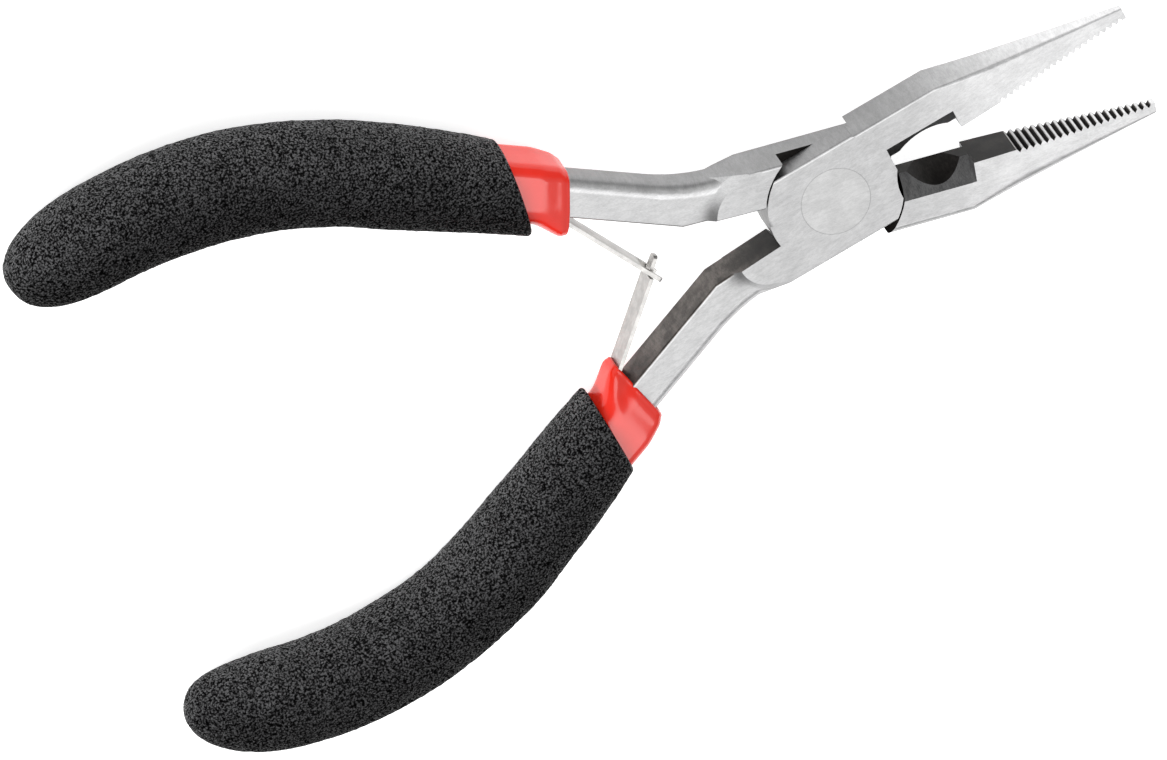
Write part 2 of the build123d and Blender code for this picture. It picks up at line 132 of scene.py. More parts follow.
def blurred_noise(rows: int, columns: int, grain: float, seed: int) -> np.ndarray:
    """Random relief that repeats in both directions: white noise through a Gaussian filter.

    Args:
        rows: Grid rows.
        columns: Grid columns.
        grain: Radius of the filter, in grid steps.
        seed: Seed of the random draw.

    Returns:
        A rows by columns array with mean 0 and spread 1.
    """
    white = np.random.default_rng(seed).standard_normal((rows, columns))
    row_wave = np.fft.fftfreq(rows)[:, None]
    column_wave = np.fft.fftfreq(columns)[None, :]
    keep = np.exp(-2 * (pi * grain) ** 2 * (row_wave ** 2 + column_wave ** 2))
    relief = np.real(np.fft.ifft2(np.fft.fft2(white) * keep))
    return (relief - relief.mean()) / relief.std()


def grid_normals(rings: np.ndarray) -> np.ndarray:
    """Unit normals of a ring grid, from the cross product of its two directions.

    Args:
        rings: Points as rows by columns by 3, where the columns close on themselves.

    Returns:
        Normals of the same shape.
    """
    down = np.gradient(rings, axis=0)
    around = np.roll(rings, -1, axis=1) - np.roll(rings, 1, axis=1)
    normal = np.cross(around, down)
    length = np.linalg.norm(normal, axis=-1, keepdims=True)
    return normal / np.maximum(length, 1e-12)


def mesh_object(name: str, points: np.ndarray, faces: list, smooth: bool) -> bpy.types.Object:
    """Put points and faces into a new object, with its faces turned outwards.

    Args:
        name: Name of the piece.
        points: Points in metres, N by 3.
        faces: Lists of point numbers.
        smooth: Whether the faces are shaded smooth.

    Returns:
        The linked object, at the origin.
    """
    mesh = bpy.data.meshes.new(name)
    mesh.from_pydata(points.tolist(), [], faces)
    work = bmesh.new()
    work.from_mesh(mesh)
    bmesh.ops.recalc_face_normals(work, faces=work.faces)
    work.to_mesh(mesh)
    work.free()
    mesh.polygons.foreach_set("use_smooth", np.full(len(mesh.polygons), smooth))
    piece = bpy.data.objects.new(name, mesh)
    bpy.context.scene.collection.objects.link(piece)
    return piece


def closed_shell(name: str, rings: np.ndarray) -> bpy.types.Object:
    """Skin a grid whose columns close on themselves, with a fan over each end ring.

    Args:
        name: Name of the piece.
        rings: Points in metres, rows by columns by 3.

    Returns:
        The object.
    """
    rows, columns, _ = rings.shape
    number = np.arange(rows * columns).reshape(rows, columns)
    after = np.roll(number, -1, axis=1)
    quads = np.stack([number[:-1], number[1:], after[1:], after[:-1]], -1).reshape(-1, 4)
    poles = np.stack([rings[0].mean(0), rings[-1].mean(0)])
    first, last = rows * columns, rows * columns + 1
    start = np.stack([np.full(columns, first), number[0], after[0]], -1)
    end = np.stack([np.full(columns, last), after[-1], number[-1]], -1)
    points = np.concatenate([rings.reshape(-1, 3), poles])
    return mesh_object(name, points, quads.tolist() + start.tolist() + end.tolist(), True)


def walled_plate(name: str, top: np.ndarray, under: np.ndarray,
                 keep: np.ndarray) -> bpy.types.Object:
    """Close two grids, one over the other, with a wall wherever a kept cell has no neighbour.

    Args:
        name: Name of the piece.
        top: Points of the upper sheet in metres, rows by columns by 3.
        under: Points of the lower sheet, of the same shape.
        keep: Which cells exist, rows - 1 by columns - 1.

    Returns:
        The object.
    """
    rows, columns, _ = top.shape
    number = np.arange(rows * columns).reshape(rows, columns)
    below = rows * columns
    cell = np.stack([number[:-1, :-1], number[1:, :-1], number[1:, 1:], number[:-1, 1:]], -1)[keep]
    padded = np.pad(keep, 1)
    across = padded[1:, 1:-1] != padded[:-1, 1:-1]
    along = padded[1:-1, 1:] != padded[1:-1, :-1]
    walls = []
    for near, far in ((number[:, :-1][across], number[:, 1:][across]),
                      (number[:-1, :][along], number[1:, :][along])):
        walls.append(np.stack([near, far, far + below, near + below], -1))
    faces = np.concatenate([cell, cell[:, ::-1] + below] + walls)
    points = np.concatenate([top.reshape(-1, 3), under.reshape(-1, 3)])
    used, compact = np.unique(faces, return_inverse=True)
    return mesh_object(name, points[used], compact.reshape(-1, 4).tolist(), False)


# ---- plan of the handles ------------------------------------------------------------

@dataclass(frozen=True)
class HandlePlan:
    """Plan of one handle in its lever's closed frame, with its jaw on the +Y side.

    The shank runs straight from its bend near the joint, and then curves back towards the
    centre line. The joint's flat runs out over the shank in an arc.

    Attributes:
        side: Which lever it is.
        bend_x: Distance of the bend behind the joint's axis, in millimetres.
        bend_y: Distance of the bend off the centre line.
        splay: Angle between the shank and the centre line, in degrees.
        straight: Length of the straight part.
        curve: Radius of the curved part.
        blade_angle: Angle of the leaf spring's blade, in degrees.
        runout_y: Off-centre place of the run-out arc's centre.
        runout_radius: Radius of the run-out arc.
        runout_x: Place of the arc's centre along X.
        mouth_distance: Distance of the sleeve's mouth from the joint's axis.
        mouth_angle: Direction of that mouth off the centre line, in degrees.
    """

    side: Side
    bend_x: float
    bend_y: float
    splay: float
    straight: float
    curve: float
    blade_angle: float
    runout_y: float
    runout_radius: float
    runout_x: float = -9.1
    mouth_distance: float = 29.63
    mouth_angle: float = 10.6

    @property
    def lever(self) -> str:
        """Name of the body that the handle belongs to."""
        return self.side.value + "_lever"

    @property
    def sign(self) -> float:
        """+1 for the front lever, -1 for the one that is turned over."""
        return 1.0 if self.side is Side.FRONT else -1.0

    @property
    def along(self) -> np.ndarray:
        """Unit vector down the straight shank."""
        return np.array([-cos(radians(self.splay)), -sin(radians(self.splay))])

    @property
    def inward(self) -> np.ndarray:
        """Unit vector square to the shank, towards the other handle."""
        return np.array([-sin(radians(self.splay)), cos(radians(self.splay))])

    @property
    def start(self) -> np.ndarray:
        """Point of the centreline beside the bend."""
        return np.array([-self.bend_x, -self.bend_y]) - self.inward * SHANK / 2

    @property
    def mouth(self) -> np.ndarray:
        """Where the leaf spring leaves its sleeve."""
        angle = radians(self.mouth_angle)
        return -self.mouth_distance * np.array([cos(angle), sin(angle)])

    @property
    def leaf(self) -> np.ndarray:
        """Unit vector along the leaf spring, from the mouth to the tip."""
        return np.array([cos(radians(self.blade_angle)), sin(radians(self.blade_angle))])

    @property
    def mouth_run(self) -> float:
        """Distance of the mouth past the bend."""
        return float((self.mouth - self.start) @ self.along)

    @property
    def mouth_rise(self) -> float:
        """How far inwards of the centreline the mouth point lies."""
        return float((self.mouth - self.start) @ self.inward)

    def at(self, run: np.ndarray, offset: np.ndarray, height: np.ndarray) -> np.ndarray:
        """Points beside the centreline: a straight line that goes over into an arc.

        Args:
            run: Distance past the bend, measured along the centreline.
            offset: Distance inwards from the centreline.
            height: Distance in front of the mid-plane.

        Returns:
            Points in the closed frame, in millimetres, with a last axis of 3.
        """
        run, offset, height = np.broadcast_arrays(run, offset, height)
        turn = -np.clip(run - self.straight, 0.0, None) / self.curve
        turned = np.stack([self.inward[0] * np.cos(turn) - self.inward[1] * np.sin(turn),
                           self.inward[0] * np.sin(turn) + self.inward[1] * np.cos(turn)], -1)
        centre = (self.start + self.along * np.minimum(run, self.straight)[..., None]
                  + self.curve * (self.inward - turned))
        plan = centre + turned * offset[..., None]
        return np.concatenate([plan, (MID + height)[..., None]], -1)

    def place(self, points: np.ndarray) -> np.ndarray:
        """Carry points from the closed frame to rest.

        The back lever is turned over about X first. Each is then turned open about Z by half
        of the rest angle.

        Args:
            points: Points in the closed frame, in millimetres, with a last axis of 3.

        Returns:
            The points at rest, in metres.
        """
        x, y, z = points[..., 0], points[..., 1], points[..., 2]
        if self.side is Side.BACK:
            y, z = -y, JOINT_THICK - z
        turn = self.sign * HALF_OPENING
        turned = np.stack([x * cos(turn) - y * sin(turn), x * sin(turn) + y * cos(turn), z], -1)
        return turned * MM

    def place_point(self, plan: np.ndarray) -> Vector:
        """A plan point on the mid-plane, at rest, in metres."""
        return Vector(self.place(np.array([plan[0], plan[1], MID])))


FRONT_PLAN = HandlePlan(Side.FRONT, bend_x=15.6, bend_y=1.8, splay=22.9, straight=37.5,
                        curve=40.0, blade_angle=45.0, runout_y=-1.6, runout_radius=3.4)
BACK_PLAN = HandlePlan(Side.BACK, bend_x=16.8, bend_y=1.55, splay=21.6, straight=36.0,
                       curve=48.0, blade_angle=47.0, runout_y=-1.1, runout_radius=4.1)


# ---- shader helpers -----------------------------------------------------------------

class Graph:
    """Small helper that adds nodes to a tree and links them.

    A value is the output of another node, or a plain number or vector.
    """

    def __init__(self, tree: bpy.types.NodeTree) -> None:
        """Keep the tree that the nodes go to."""
        self.tree = tree

    def node(self, kind: str, **settings: object) -> bpy.types.Node:
        """Add a node.

        Args:
            kind: Type of the node.
            **settings: Properties to set on it.

        Returns:
            The node.
        """
        made = self.tree.nodes.new(kind)
        for key, value in settings.items():
            setattr(made, key, value)
        return made

    def feed(self, socket: bpy.types.NodeSocket, value: object) -> None:
        """Link a value to a socket, or set the socket's own value.

        Args:
            socket: The input socket.
            value: What it gets.
        """
        if isinstance(value, bpy.types.NodeSocket):
            self.tree.links.new(value, socket)
        else:
            socket.default_value = value

    def filled(self, kind: str, values: tuple, **settings: object) -> bpy.types.NodeSocket:
        """Add a node and feed its first inputs in order.

        Args:
            kind: Type of the node.
            values: What the inputs get.
            **settings: Properties to set on the node.

        Returns:
            Its first output.
        """
        made = self.node(kind, **settings)
        for socket, value in zip(made.inputs, values):
            self.feed(socket, value)
        return made.outputs[0]

    def math(self, operation: str, *values: object) -> bpy.types.NodeSocket:
        """Result of a Math node."""
        return self.filled("ShaderNodeMath", values, operation=operation)

    def without(self, value: object) -> bpy.types.NodeSocket:
        """One minus a value."""
        return self.math("SUBTRACT", 1.0, value)

    def times(self, *values: object) -> bpy.types.NodeSocket:
        """Product of several values.

        Args:
            *values: Two or more factors.

        Returns:
            The product.
        """
        product = values[0]
        for value in values[1:]:
            product = self.math("MULTIPLY", product, value)
        return product

    def vector(self, operation: str, *values: object) -> bpy.types.NodeSocket:
        """Vector result of a Vector Math node."""
        return self.filled("ShaderNodeVectorMath", values, operation=operation)

    def span(self, value: object, low: float, high: float, to_low: float = 0.0,
             to_high: float = 1.0) -> bpy.types.NodeSocket:
        """Smooth Map Range of a value, held at both ends.

        Args:
            value: What is mapped.
            low: Value that gives to_low. It may be above high.
            high: Value that gives to_high.
            to_low: Result at low.
            to_high: Result at high.

        Returns:
            The mapped value.
        """
        return self.filled("ShaderNodeMapRange", (value, low, high, to_low, to_high),
                           interpolation_type="SMOOTHSTEP")

    def split(self, vector: object) -> tuple:
        """X, Y and Z of a vector."""
        return tuple(self.filled("ShaderNodeSeparateXYZ", (vector,)).node.outputs)

    def join(self, x: object, y: object, z: object) -> bpy.types.NodeSocket:
        """Vector from three values."""
        return self.filled("ShaderNodeCombineXYZ", (x, y, z))

    def mix(self, factor: object, first: object, second: object,
            kind: str = "Color") -> bpy.types.NodeSocket:
        """Blend of two colours or, with kind Float, of two values.

        Args:
            factor: Share of the second one.
            first: Result where the factor is 0.
            second: Result where the factor is 1.
            kind: Color or Float.

        Returns:
            The blend.
        """
        made = self.node("ShaderNodeMix", data_type="RGBA" if kind == "Color" else "FLOAT")
        inputs = {socket.identifier: socket for socket in made.inputs}
        outputs = {socket.identifier: socket for socket in made.outputs}
        self.feed(inputs["Factor_Float"], factor)
        self.feed(inputs["A_" + kind], first)
        self.feed(inputs["B_" + kind], second)
        return outputs["Result_" + kind]

    def blend(self, factor: object, first: object, second: object) -> bpy.types.NodeSocket:
        """Blend of two values."""
        return self.mix(factor, first, second, "Float")

    def noise(self, vector: object, scale: object, detail: float,
              roughness: float = 0.5) -> bpy.types.NodeSocket:
        """Value of a Noise texture.

        Args:
            vector: Where it is read.
            scale: Its fineness.
            detail: How many finer layers are added.
            roughness: How strong each finer layer is.

        Returns:
            The value, around one half.
        """
        made = self.node("ShaderNodeTexNoise")
        self.feed(made.inputs["Vector"], vector)
        self.feed(made.inputs["Scale"], scale)
        self.feed(made.inputs["Detail"], detail)
        self.feed(made.inputs["Roughness"], roughness)
        return made.outputs[0]

    def cells(self, vector: object, scale: float) -> bpy.types.NodeSocket:
        """Distance to the nearest point of a Voronoi texture.

        Args:
            vector: Where it is read.
            scale: Cells to a millimetre.

        Returns:
            The distance.
        """
        made = self.node("ShaderNodeTexVoronoi", feature="F1")
        self.feed(made.inputs["Vector"], vector)
        self.feed(made.inputs["Scale"], scale)
        return made.outputs["Distance"]


class Effect:
    """A shader node group with named inputs and outputs, built once and used by many finishes."""

    KINDS = {"value": "NodeSocketFloat", "vector": "NodeSocketVector"}

    def __init__(self, name: str, inputs: dict, outputs: dict) -> None:
        """Make the group's sockets.

        Args:
            name: Name of the group.
            inputs: Kind of each input socket, by its name.
            outputs: Kind of each output socket, by its name.
        """
        self.tree = bpy.data.node_groups.new(name, "ShaderNodeTree")
        for direction, sockets in (("INPUT", inputs), ("OUTPUT", outputs)):
            for label, kind in sockets.items():
                self.tree.interface.new_socket(name=label, in_out=direction,
                                               socket_type=self.KINDS[kind])
        self.graph = Graph(self.tree)
        self.given = self.graph.node("NodeGroupInput").outputs
        self.result = self.graph.node("NodeGroupOutput").inputs

    def use(self, graph: Graph, **values: object) -> bpy.types.bpy_prop_collection:
        """Place the group in a material.

        Args:
            graph: The material's graph.
            **values: Input values, by socket name.

        Returns:
            The group node's outputs.
        """
        made = graph.node("ShaderNodeGroup", node_tree=self.tree)
        for label, value in values.items():
            graph.feed(made.inputs[label], value)
        return made.outputs


class Effects:
    """The effects that several finishes share.

    Scratches are fine and coarse noise in fixed shares. Where a third noise is high, a deep
    scratch is cut out of them. Scales are shares of the fine noise's scale.
    """

    FINE_SHARE = 0.6
    COARSE_SHARE = 0.4
    COARSE_SCALE = 0.23
    DEEP_SCALE = 0.6
    DEEP_SPAN = (0.66, 0.74)
    DEEP_CUT = 0.35
    CLOUD_SPAN = (0.3, 0.7)

    def __init__(self) -> None:
        """Build each group once."""
        self.lever_frame = self.make_lever_frame()
        self.brushing = self.make_brushing()
        self.cloud = self.make_cloud()

    @staticmethod
    def make_lever_frame() -> Effect:
        """A place or a direction turned back into its lever's closed frame.

        Returns:
            The group, which turns about Z and then flips Y and Z and lifts Z.
        """
        effect = Effect("lever_frame", {"Place": "vector", "Turn": "value", "Flip": "value",
                                        "Lift": "value"}, {"Place": "vector"})
        graph, given = effect.graph, effect.given
        turn = graph.node("ShaderNodeVectorRotate", rotation_type="Z_AXIS")
        graph.feed(turn.inputs["Vector"], given["Place"])
        graph.feed(turn.inputs["Angle"], given["Turn"])
        x, y, z = graph.split(turn.outputs[0])
        flat_y = graph.times(y, given["Flip"])
        flat_z = graph.math("ADD", graph.times(z, given["Flip"]), given["Lift"])
        graph.feed(effect.result["Place"], graph.join(x, flat_y, flat_z))
        return effect

    @classmethod
    def make_brushing(cls) -> Effect:
        """Fine parallel scratches along one direction, with a few deeper ones among them.

        Returns:
            The group: fine and coarse noise on a stretched place, less the deep scratches.
        """
        effect = Effect("brushing", {"Place": "vector", "Stretch": "vector", "Fineness": "value"},
                        {"Height": "value", "Streaks": "value"})
        graph, given = effect.graph, effect.given
        fineness = given["Fineness"]
        drawn = graph.vector("MULTIPLY", given["Place"], given["Stretch"])
        fine = graph.noise(drawn, fineness, detail=3.0, roughness=0.65)
        coarse = graph.noise(drawn, graph.times(fineness, cls.COARSE_SCALE), detail=2.0)
        deep = graph.noise(drawn, graph.times(fineness, cls.DEEP_SCALE), detail=1.0,
                           roughness=0.4)
        cut = graph.times(graph.span(deep, *cls.DEEP_SPAN), cls.DEEP_CUT)
        mixed = graph.math("ADD", graph.times(fine, cls.FINE_SHARE),
                           graph.times(coarse, cls.COARSE_SHARE))
        graph.feed(effect.result["Height"], graph.math("SUBTRACT", mixed, cut))
        graph.feed(effect.result["Streaks"], mixed)
        return effect

    @classmethod
    def make_cloud(cls) -> Effect:
        """Slow uneven tone, from handling and from the forging or dipping of a surface.

        Returns:
            The group, whose tone runs from 0 to 1.
        """
        effect = Effect("cloud", {"Place": "vector", "Size": "value"}, {"Tone": "value"})
        graph, given = effect.graph, effect.given
        slow = graph.noise(given["Place"], given["Size"], detail=3.0, roughness=0.55)
        graph.feed(effect.result["Tone"], graph.span(slow, *cls.CLOUD_SPAN))
        return effect


@dataclass(frozen=True)
class Surface:
    """A material in the making.

    Attributes:
        material: The material.
        graph: Its node graph.
        shader: Its Principled shader.
        place: The piece's own coordinates, in millimetres.
        facing: The piece's own normal.
    """

    material: bpy.types.Material
    graph: Graph
    shader: bpy.types.Node
    place: bpy.types.NodeSocket
    facing: bpy.types.NodeSocket

    @classmethod
    def start(cls, name: str) -> "Surface":
        """Start a material with its shader linked to its output.

        Args:
            name: Name of the material.

        Returns:
            The material in the making.
        """
        material = bpy.data.materials.new(name)
        material.use_nodes = True
        material.node_tree.nodes.clear()
        graph = Graph(material.node_tree)
        shader = graph.node("ShaderNodeBsdfPrincipled")
        output = graph.node("ShaderNodeOutputMaterial")
        graph.feed(output.inputs["Surface"], shader.outputs[0])
        source = graph.node("ShaderNodeTexCoord").outputs
        place = graph.vector("SCALE", source["Object"])
        graph.feed(place.node.inputs["Scale"], 1 / MM)
        return cls(material, graph, shader, place, source["Normal"])

    def feed(self, **values: object) -> None:
        """Feed the shader's inputs, named with _ for each space."""
        for label, value in values.items():
            self.graph.feed(self.shader.inputs[label.replace("_", " ")], value)

    def bump(self, height: object, depth: float, strength: float, normal: object = None) -> None:
        """Give the surface a fine relief.

        Args:
            height: Relief, from 0 to 1.
            depth: Depth of the relief, in metres.
            strength: Share of the relief that shows.
            normal: Normal that the relief goes on, if not the surface's own.
        """
        bump = self.graph.node("ShaderNodeBump")
        self.graph.feed(bump.inputs["Distance"], depth)
        self.graph.feed(bump.inputs["Strength"], strength)
        self.graph.feed(bump.inputs["Height"], height)
        if normal is not None:
            self.graph.feed(bump.inputs["Normal"], normal)
        self.feed(Normal=bump.outputs[0])


def grey(value: float) -> tuple:
    """A grey colour."""
    return (value, value, value, 1.0)


# ---- finishes -----------------------------------------------------------------------
#
# A tuple of two or four numbers is a smooth run: from the first number to the second, a result
# goes from 0 to 1, or from the third number to the fourth.

@dataclass(frozen=True)
class ScaleAndShadeMask:
    """Where a lever is painted dark, in its closed frame and in millimetres: partly forging scale,
    partly painted shade and painted dark reflection.

    That is the inner side of the handle, the gripping faces, the valleys between the teeth,
    and the recess that the other lever's plate turns in, whose dark is mostly painted shade.
    """

    sideways: tuple = (0.93, 0.8)
    handle_facing: tuple = (0.45, 0.7)
    handle_x: tuple = (-6.5, -7.0)
    grip_facing: tuple = (-0.25, -0.5)
    grip_x: tuple = (7.0, 7.4)
    tooth_tip: tuple = (0.17, 0.06)
    tooth_x: tuple = (20.5, 20.6)
    recess_outside: tuple = (8.6, 8.2)
    recess_inside: tuple = (7.6, 7.7)
    recess_facing: tuple = (-3.0, -5.0)
    recess_floor: tuple = (0.15, 0.08)

    def draw(self, graph: Graph, place: tuple, facing: tuple,
             shelf: object) -> bpy.types.NodeSocket:
        """Make the mask.

        Args:
            graph: The material's graph.
            place: X, Y and Z in the closed frame.
            facing: X, Y and Z of the normal in the closed frame.
            shelf: Mask of the ground shelf, which has no scale.

        Returns:
            The mask.
        """
        x, y, z = place
        face_x, face_y, face_z = facing
        sideways = graph.span(graph.math("ABSOLUTE", face_z), *self.sideways)
        handle = graph.times(graph.span(face_y, *self.handle_facing),
                             graph.span(x, *self.handle_x))
        tip = graph.times(graph.span(y, *self.tooth_tip), graph.span(x, *self.tooth_x))
        grip = graph.times(graph.span(face_y, *self.grip_facing), graph.span(x, *self.grip_x),
                           graph.without(graph.math("MAXIMUM", tip, shelf)))
        radius = plan_distance(graph, x, y)
        outwards = graph.math("ADD", graph.times(face_x, x), graph.times(face_y, y))
        # The recess wall here and the recess floor below are dark mostly as painted shade, partly
        # as scale.
        recess = graph.times(graph.span(radius, *self.recess_outside),
                             graph.span(radius, *self.recess_inside),
                             graph.span(outwards, *self.recess_facing))
        found = graph.math("MAXIMUM", handle, graph.math("MAXIMUM", grip, recess))
        off_middle = graph.math("ABSOLUTE", graph.math("SUBTRACT", z, MID))
        floor = graph.times(graph.span(off_middle, *self.recess_floor), graph.without(sideways))
        return graph.math("MAXIMUM", graph.times(found, sideways), floor)


def plan_distance(graph: Graph, x: object, y: object, centre_x: float = 0.0,
                  centre_y: float = 0.0) -> bpy.types.NodeSocket:
    """Distance in plan from a fixed centre.

    Args:
        graph: The material's graph.
        x: Place along X.
        y: Place along Y.
        centre_x: The centre's place along X.
        centre_y: The centre's place along Y.

    Returns:
        The distance.
    """
    beside = graph.math("SUBTRACT", x, centre_x)
    above = graph.math("SUBTRACT", y, centre_y)
    squares = graph.math("ADD", graph.times(beside, beside), graph.times(above, above))
    return graph.math("SQRT", squares)


@dataclass(frozen=True)
class LeverSteel:
    """Ground steel of a lever: bright brushed flats, duller sides, rounded edges painted light as a
    highlight, and dark parts that are partly unground scale and partly painted shade.

    The flats are brushed lengthwise and the sides crosswise. Where the joint's flat runs out
    over the shank there is a soft ramp, with a dark crescent of painted shade beside it.
    """

    effects: Effects
    plan: HandlePlan
    # Mask of the dark parts: partly forging scale, partly painted shade and painted dark
    # reflection.
    scale: ScaleAndShadeMask = ScaleAndShadeMask()
    flat_tone: float = 0.45
    # Lighter tone of the rounded edges between sides and flats: a painted highlight.
    edge_tone: float = 0.66
    shelf_tone: float = 0.14
    # Tone of the dark parts: partly scale, partly painted shade and dark reflection.
    scale_and_shade_tone: float = 0.023
    # Painted shade: how dark the crescent beside the run-out ramp gets.
    painted_crescent_depth: float = 0.72
    flat_nose: tuple = (8.0, 26.0, 1.0, 1.45)
    flat_shank: tuple = (-8.0, -14.0, 1.0, 1.08)
    side_nose: tuple = (8.0, 32.0, 0.24, 0.64)
    side_shank: tuple = (-6.0, -9.0, 0.24, 0.27)
    flat_facing: tuple = (0.75, 0.93)
    edge_from_side: tuple = (0.55, 0.9)
    edge_from_flat: tuple = (0.9999, 0.99)
    beyond_joint: tuple = (-7.0, -7.6)
    ramp_facing: tuple = (0.6, 0.7)
    ramp_rim: float = 0.06
    ramp_far: tuple = (1.0, 0.8)
    ramp_ease: float = 5.0
    painted_crescent_far: tuple = (2.4, 0.3)
    painted_crescent_y: tuple = (-5.0, -2.0)
    shelf_level: tuple = (0.55, 0.65)
    shelf_facing: tuple = (-0.5, -0.6)
    shelf_x: tuple = (7.0, 7.3)
    shelf_streaks: tuple = (0.3, 0.7, 0.6, 1.3)
    streak_gain: tuple = (0.3, 0.7, 0.80, 1.14)
    cloud_size: float = 0.35
    cloud_gain: tuple = (0.0, 1.0, 0.95, 1.03)
    scale_and_shade_shank: tuple = (-14.0, -8.0, 3.4, 0.6)
    scale_and_shade_cloud: tuple = (0.0, 1.0, 0.6, 1.4)
    scale_and_shade_streaks: tuple = (0.3, 0.7, 0.6, 1.4)
    red_gain: tuple = (1.0, 1.12)
    blue_gain: tuple = (1.005, 0.92)
    metallic: tuple = (1.0, 0.45)
    specular: tuple = (0.5, 0.15)
    roughness: tuple = (0.42, 0.36)
    streak_roughness: tuple = (0.2, 0.8, -0.05, 0.08)
    seam_radius: float = 3.86
    seam_width: tuple = (0.09, 0.03)
    seam_facing: tuple = (0.8, 0.9)
    seam_depth: float = 0.3
    lengthwise: tuple = (0.3, 1.0, 1.0)
    lengthwise_fineness: float = 11.0
    crosswise: tuple = (1.0, 0.5, 0.2)
    crosswise_fineness: float = 10.0
    relief: float = 0.00003
    relief_strength: float = 0.35

    def build(self) -> bpy.types.Material:
        """Make the material.

        Returns:
            The material, whose tones follow the place and the facing of each surface.
        """
        surface = Surface.start(self.plan.side.value + "_lever_ground_steel")
        graph = surface.graph
        place, facing = self.closed_frame(surface)
        x, y, z = graph.split(place)
        face_x, face_y, face_z = graph.split(facing)
        level = graph.math("ABSOLUTE", face_z)
        ring = plan_distance(graph, x, y, self.plan.runout_x, self.plan.runout_y)
        past_rim = graph.times(graph.span(x, *self.beyond_joint),
                               graph.span(ring, self.plan.runout_radius - self.ramp_rim,
                                          self.plan.runout_radius))
        ramp = graph.times(past_rim, self.fade_out(graph, ring, self.ramp_far),
                           graph.span(level, *self.ramp_facing))
        # Painted shade: a dark crescent on the flats just outside the run-out arc.
        painted_crescent = graph.times(past_rim, self.fade_out(graph, ring, self.painted_crescent_far),
                               graph.span(y, *self.painted_crescent_y))
        flatness = graph.math("MAXIMUM", ramp, graph.span(level, *self.flat_facing))
        height, streaks = self.brushed(graph, place, flatness)
        cloud = self.effects.cloud.use(graph, Place=place, Size=self.cloud_size)["Tone"]

        side = graph.math("MAXIMUM", graph.span(x, *self.side_shank),
                          graph.span(x, *self.side_nose))
        flat = graph.times(self.flat_tone, graph.span(x, *self.flat_nose),
                           graph.span(x, *self.flat_shank))
        # Painted highlight: the rounded edges between sides and flats get the lighter edge tone.
        edge = graph.times(graph.span(level, *self.edge_from_side),
                           graph.span(level, *self.edge_from_flat), graph.without(ramp))
        ground = graph.blend(edge, graph.blend(flatness, side, flat), self.edge_tone)
        # The crescent factor below darkens the tone as painted shade.
        bright = graph.times(ground, graph.span(streaks, *self.streak_gain),
                             graph.span(cloud, *self.cloud_gain),
                             graph.without(graph.times(painted_crescent, flatness, self.painted_crescent_depth)))
        shelf = graph.times(graph.span(level, *self.shelf_level),
                            graph.span(face_y, *self.shelf_facing), graph.span(x, *self.shelf_x))
        bright = graph.blend(shelf, bright, graph.times(
            self.shelf_tone, graph.span(streaks, *self.shelf_streaks)))
        # Dark parts: partly forging scale, partly painted shade and painted dark reflection, darker
        # near the joint.
        scale = self.scale.draw(graph, (x, y, z), (face_x, face_y, face_z), shelf)
        dark = graph.times(self.scale_and_shade_tone, graph.span(x, *self.scale_and_shade_shank),
                           graph.span(cloud, *self.scale_and_shade_cloud),
                           graph.span(streaks, *self.scale_and_shade_streaks))
        tone = graph.times(graph.blend(scale, bright, dark), self.seam(graph, x, y, face_z))
        surface.feed(
            Base_Color=graph.join(graph.times(tone, graph.blend(scale, *self.red_gain)), tone,
                                  graph.times(tone, graph.blend(scale, *self.blue_gain))),
            Metallic=graph.blend(scale, *self.metallic),
            Specular_IOR_Level=graph.blend(scale, *self.specular),
            Roughness=graph.math("ADD", graph.blend(flatness, *self.roughness),
                                 graph.span(streaks, *self.streak_roughness)))
        surface.bump(height, self.relief, self.relief_strength, self.eased_normal(graph, ramp))
        return surface.material

    def closed_frame(self, surface: Surface) -> tuple:
        """Place and facing, carried back into the lever's closed frame.

        Args:
            surface: The material in the making.

        Returns:
            The place in millimetres and the normal.
        """
        flip = self.plan.sign
        lift = 0.0 if self.plan.side is Side.FRONT else JOINT_THICK
        return tuple(self.effects.lever_frame.use(
            surface.graph, Place=source, Turn=-flip * HALF_OPENING, Flip=flip,
            Lift=raised)["Place"] for source, raised in ((surface.place, lift),
                                                         (surface.facing, 0.0)))

    def fade_out(self, graph: Graph, ring: object, reach: tuple) -> bpy.types.NodeSocket:
        """Fade away outside of the run-out arc, over a reach given from its rim."""
        radius = self.plan.runout_radius
        return graph.span(ring, radius + reach[0], radius + reach[1])

    def brushed(self, graph: Graph, place: object, flatness: object) -> tuple:
        """Scratches, lengthwise on the flats and crosswise on the sides.

        Args:
            graph: The material's graph.
            place: Place in the closed frame.
            flatness: Mask of the flats.

        Returns:
            The scratches' height and their streaks.
        """
        drawn = [self.effects.brushing.use(graph, Place=place, Stretch=stretch, Fineness=fineness)
                 for stretch, fineness in ((self.crosswise, self.crosswise_fineness),
                                           (self.lengthwise, self.lengthwise_fineness))]
        return tuple(graph.blend(flatness, drawn[0][label], drawn[1][label])
                     for label in ("Height", "Streaks"))

    def eased_normal(self, graph: Graph, ramp: object) -> bpy.types.NodeSocket:
        """The surface's normal, turned towards the joint's axis on the soft ramps.

        Args:
            graph: The material's graph.
            ramp: Mask of the ramps.

        Returns:
            The normal.
        """
        normal = graph.node("ShaderNodeNewGeometry").outputs["Normal"]
        _, _, up = graph.split(normal)
        lift = graph.times(graph.math("SIGN", up), ramp, self.ramp_ease)
        leaning = graph.vector("ADD", normal, graph.join(0.0, 0.0, lift))
        return graph.vector("NORMALIZE", leaning)

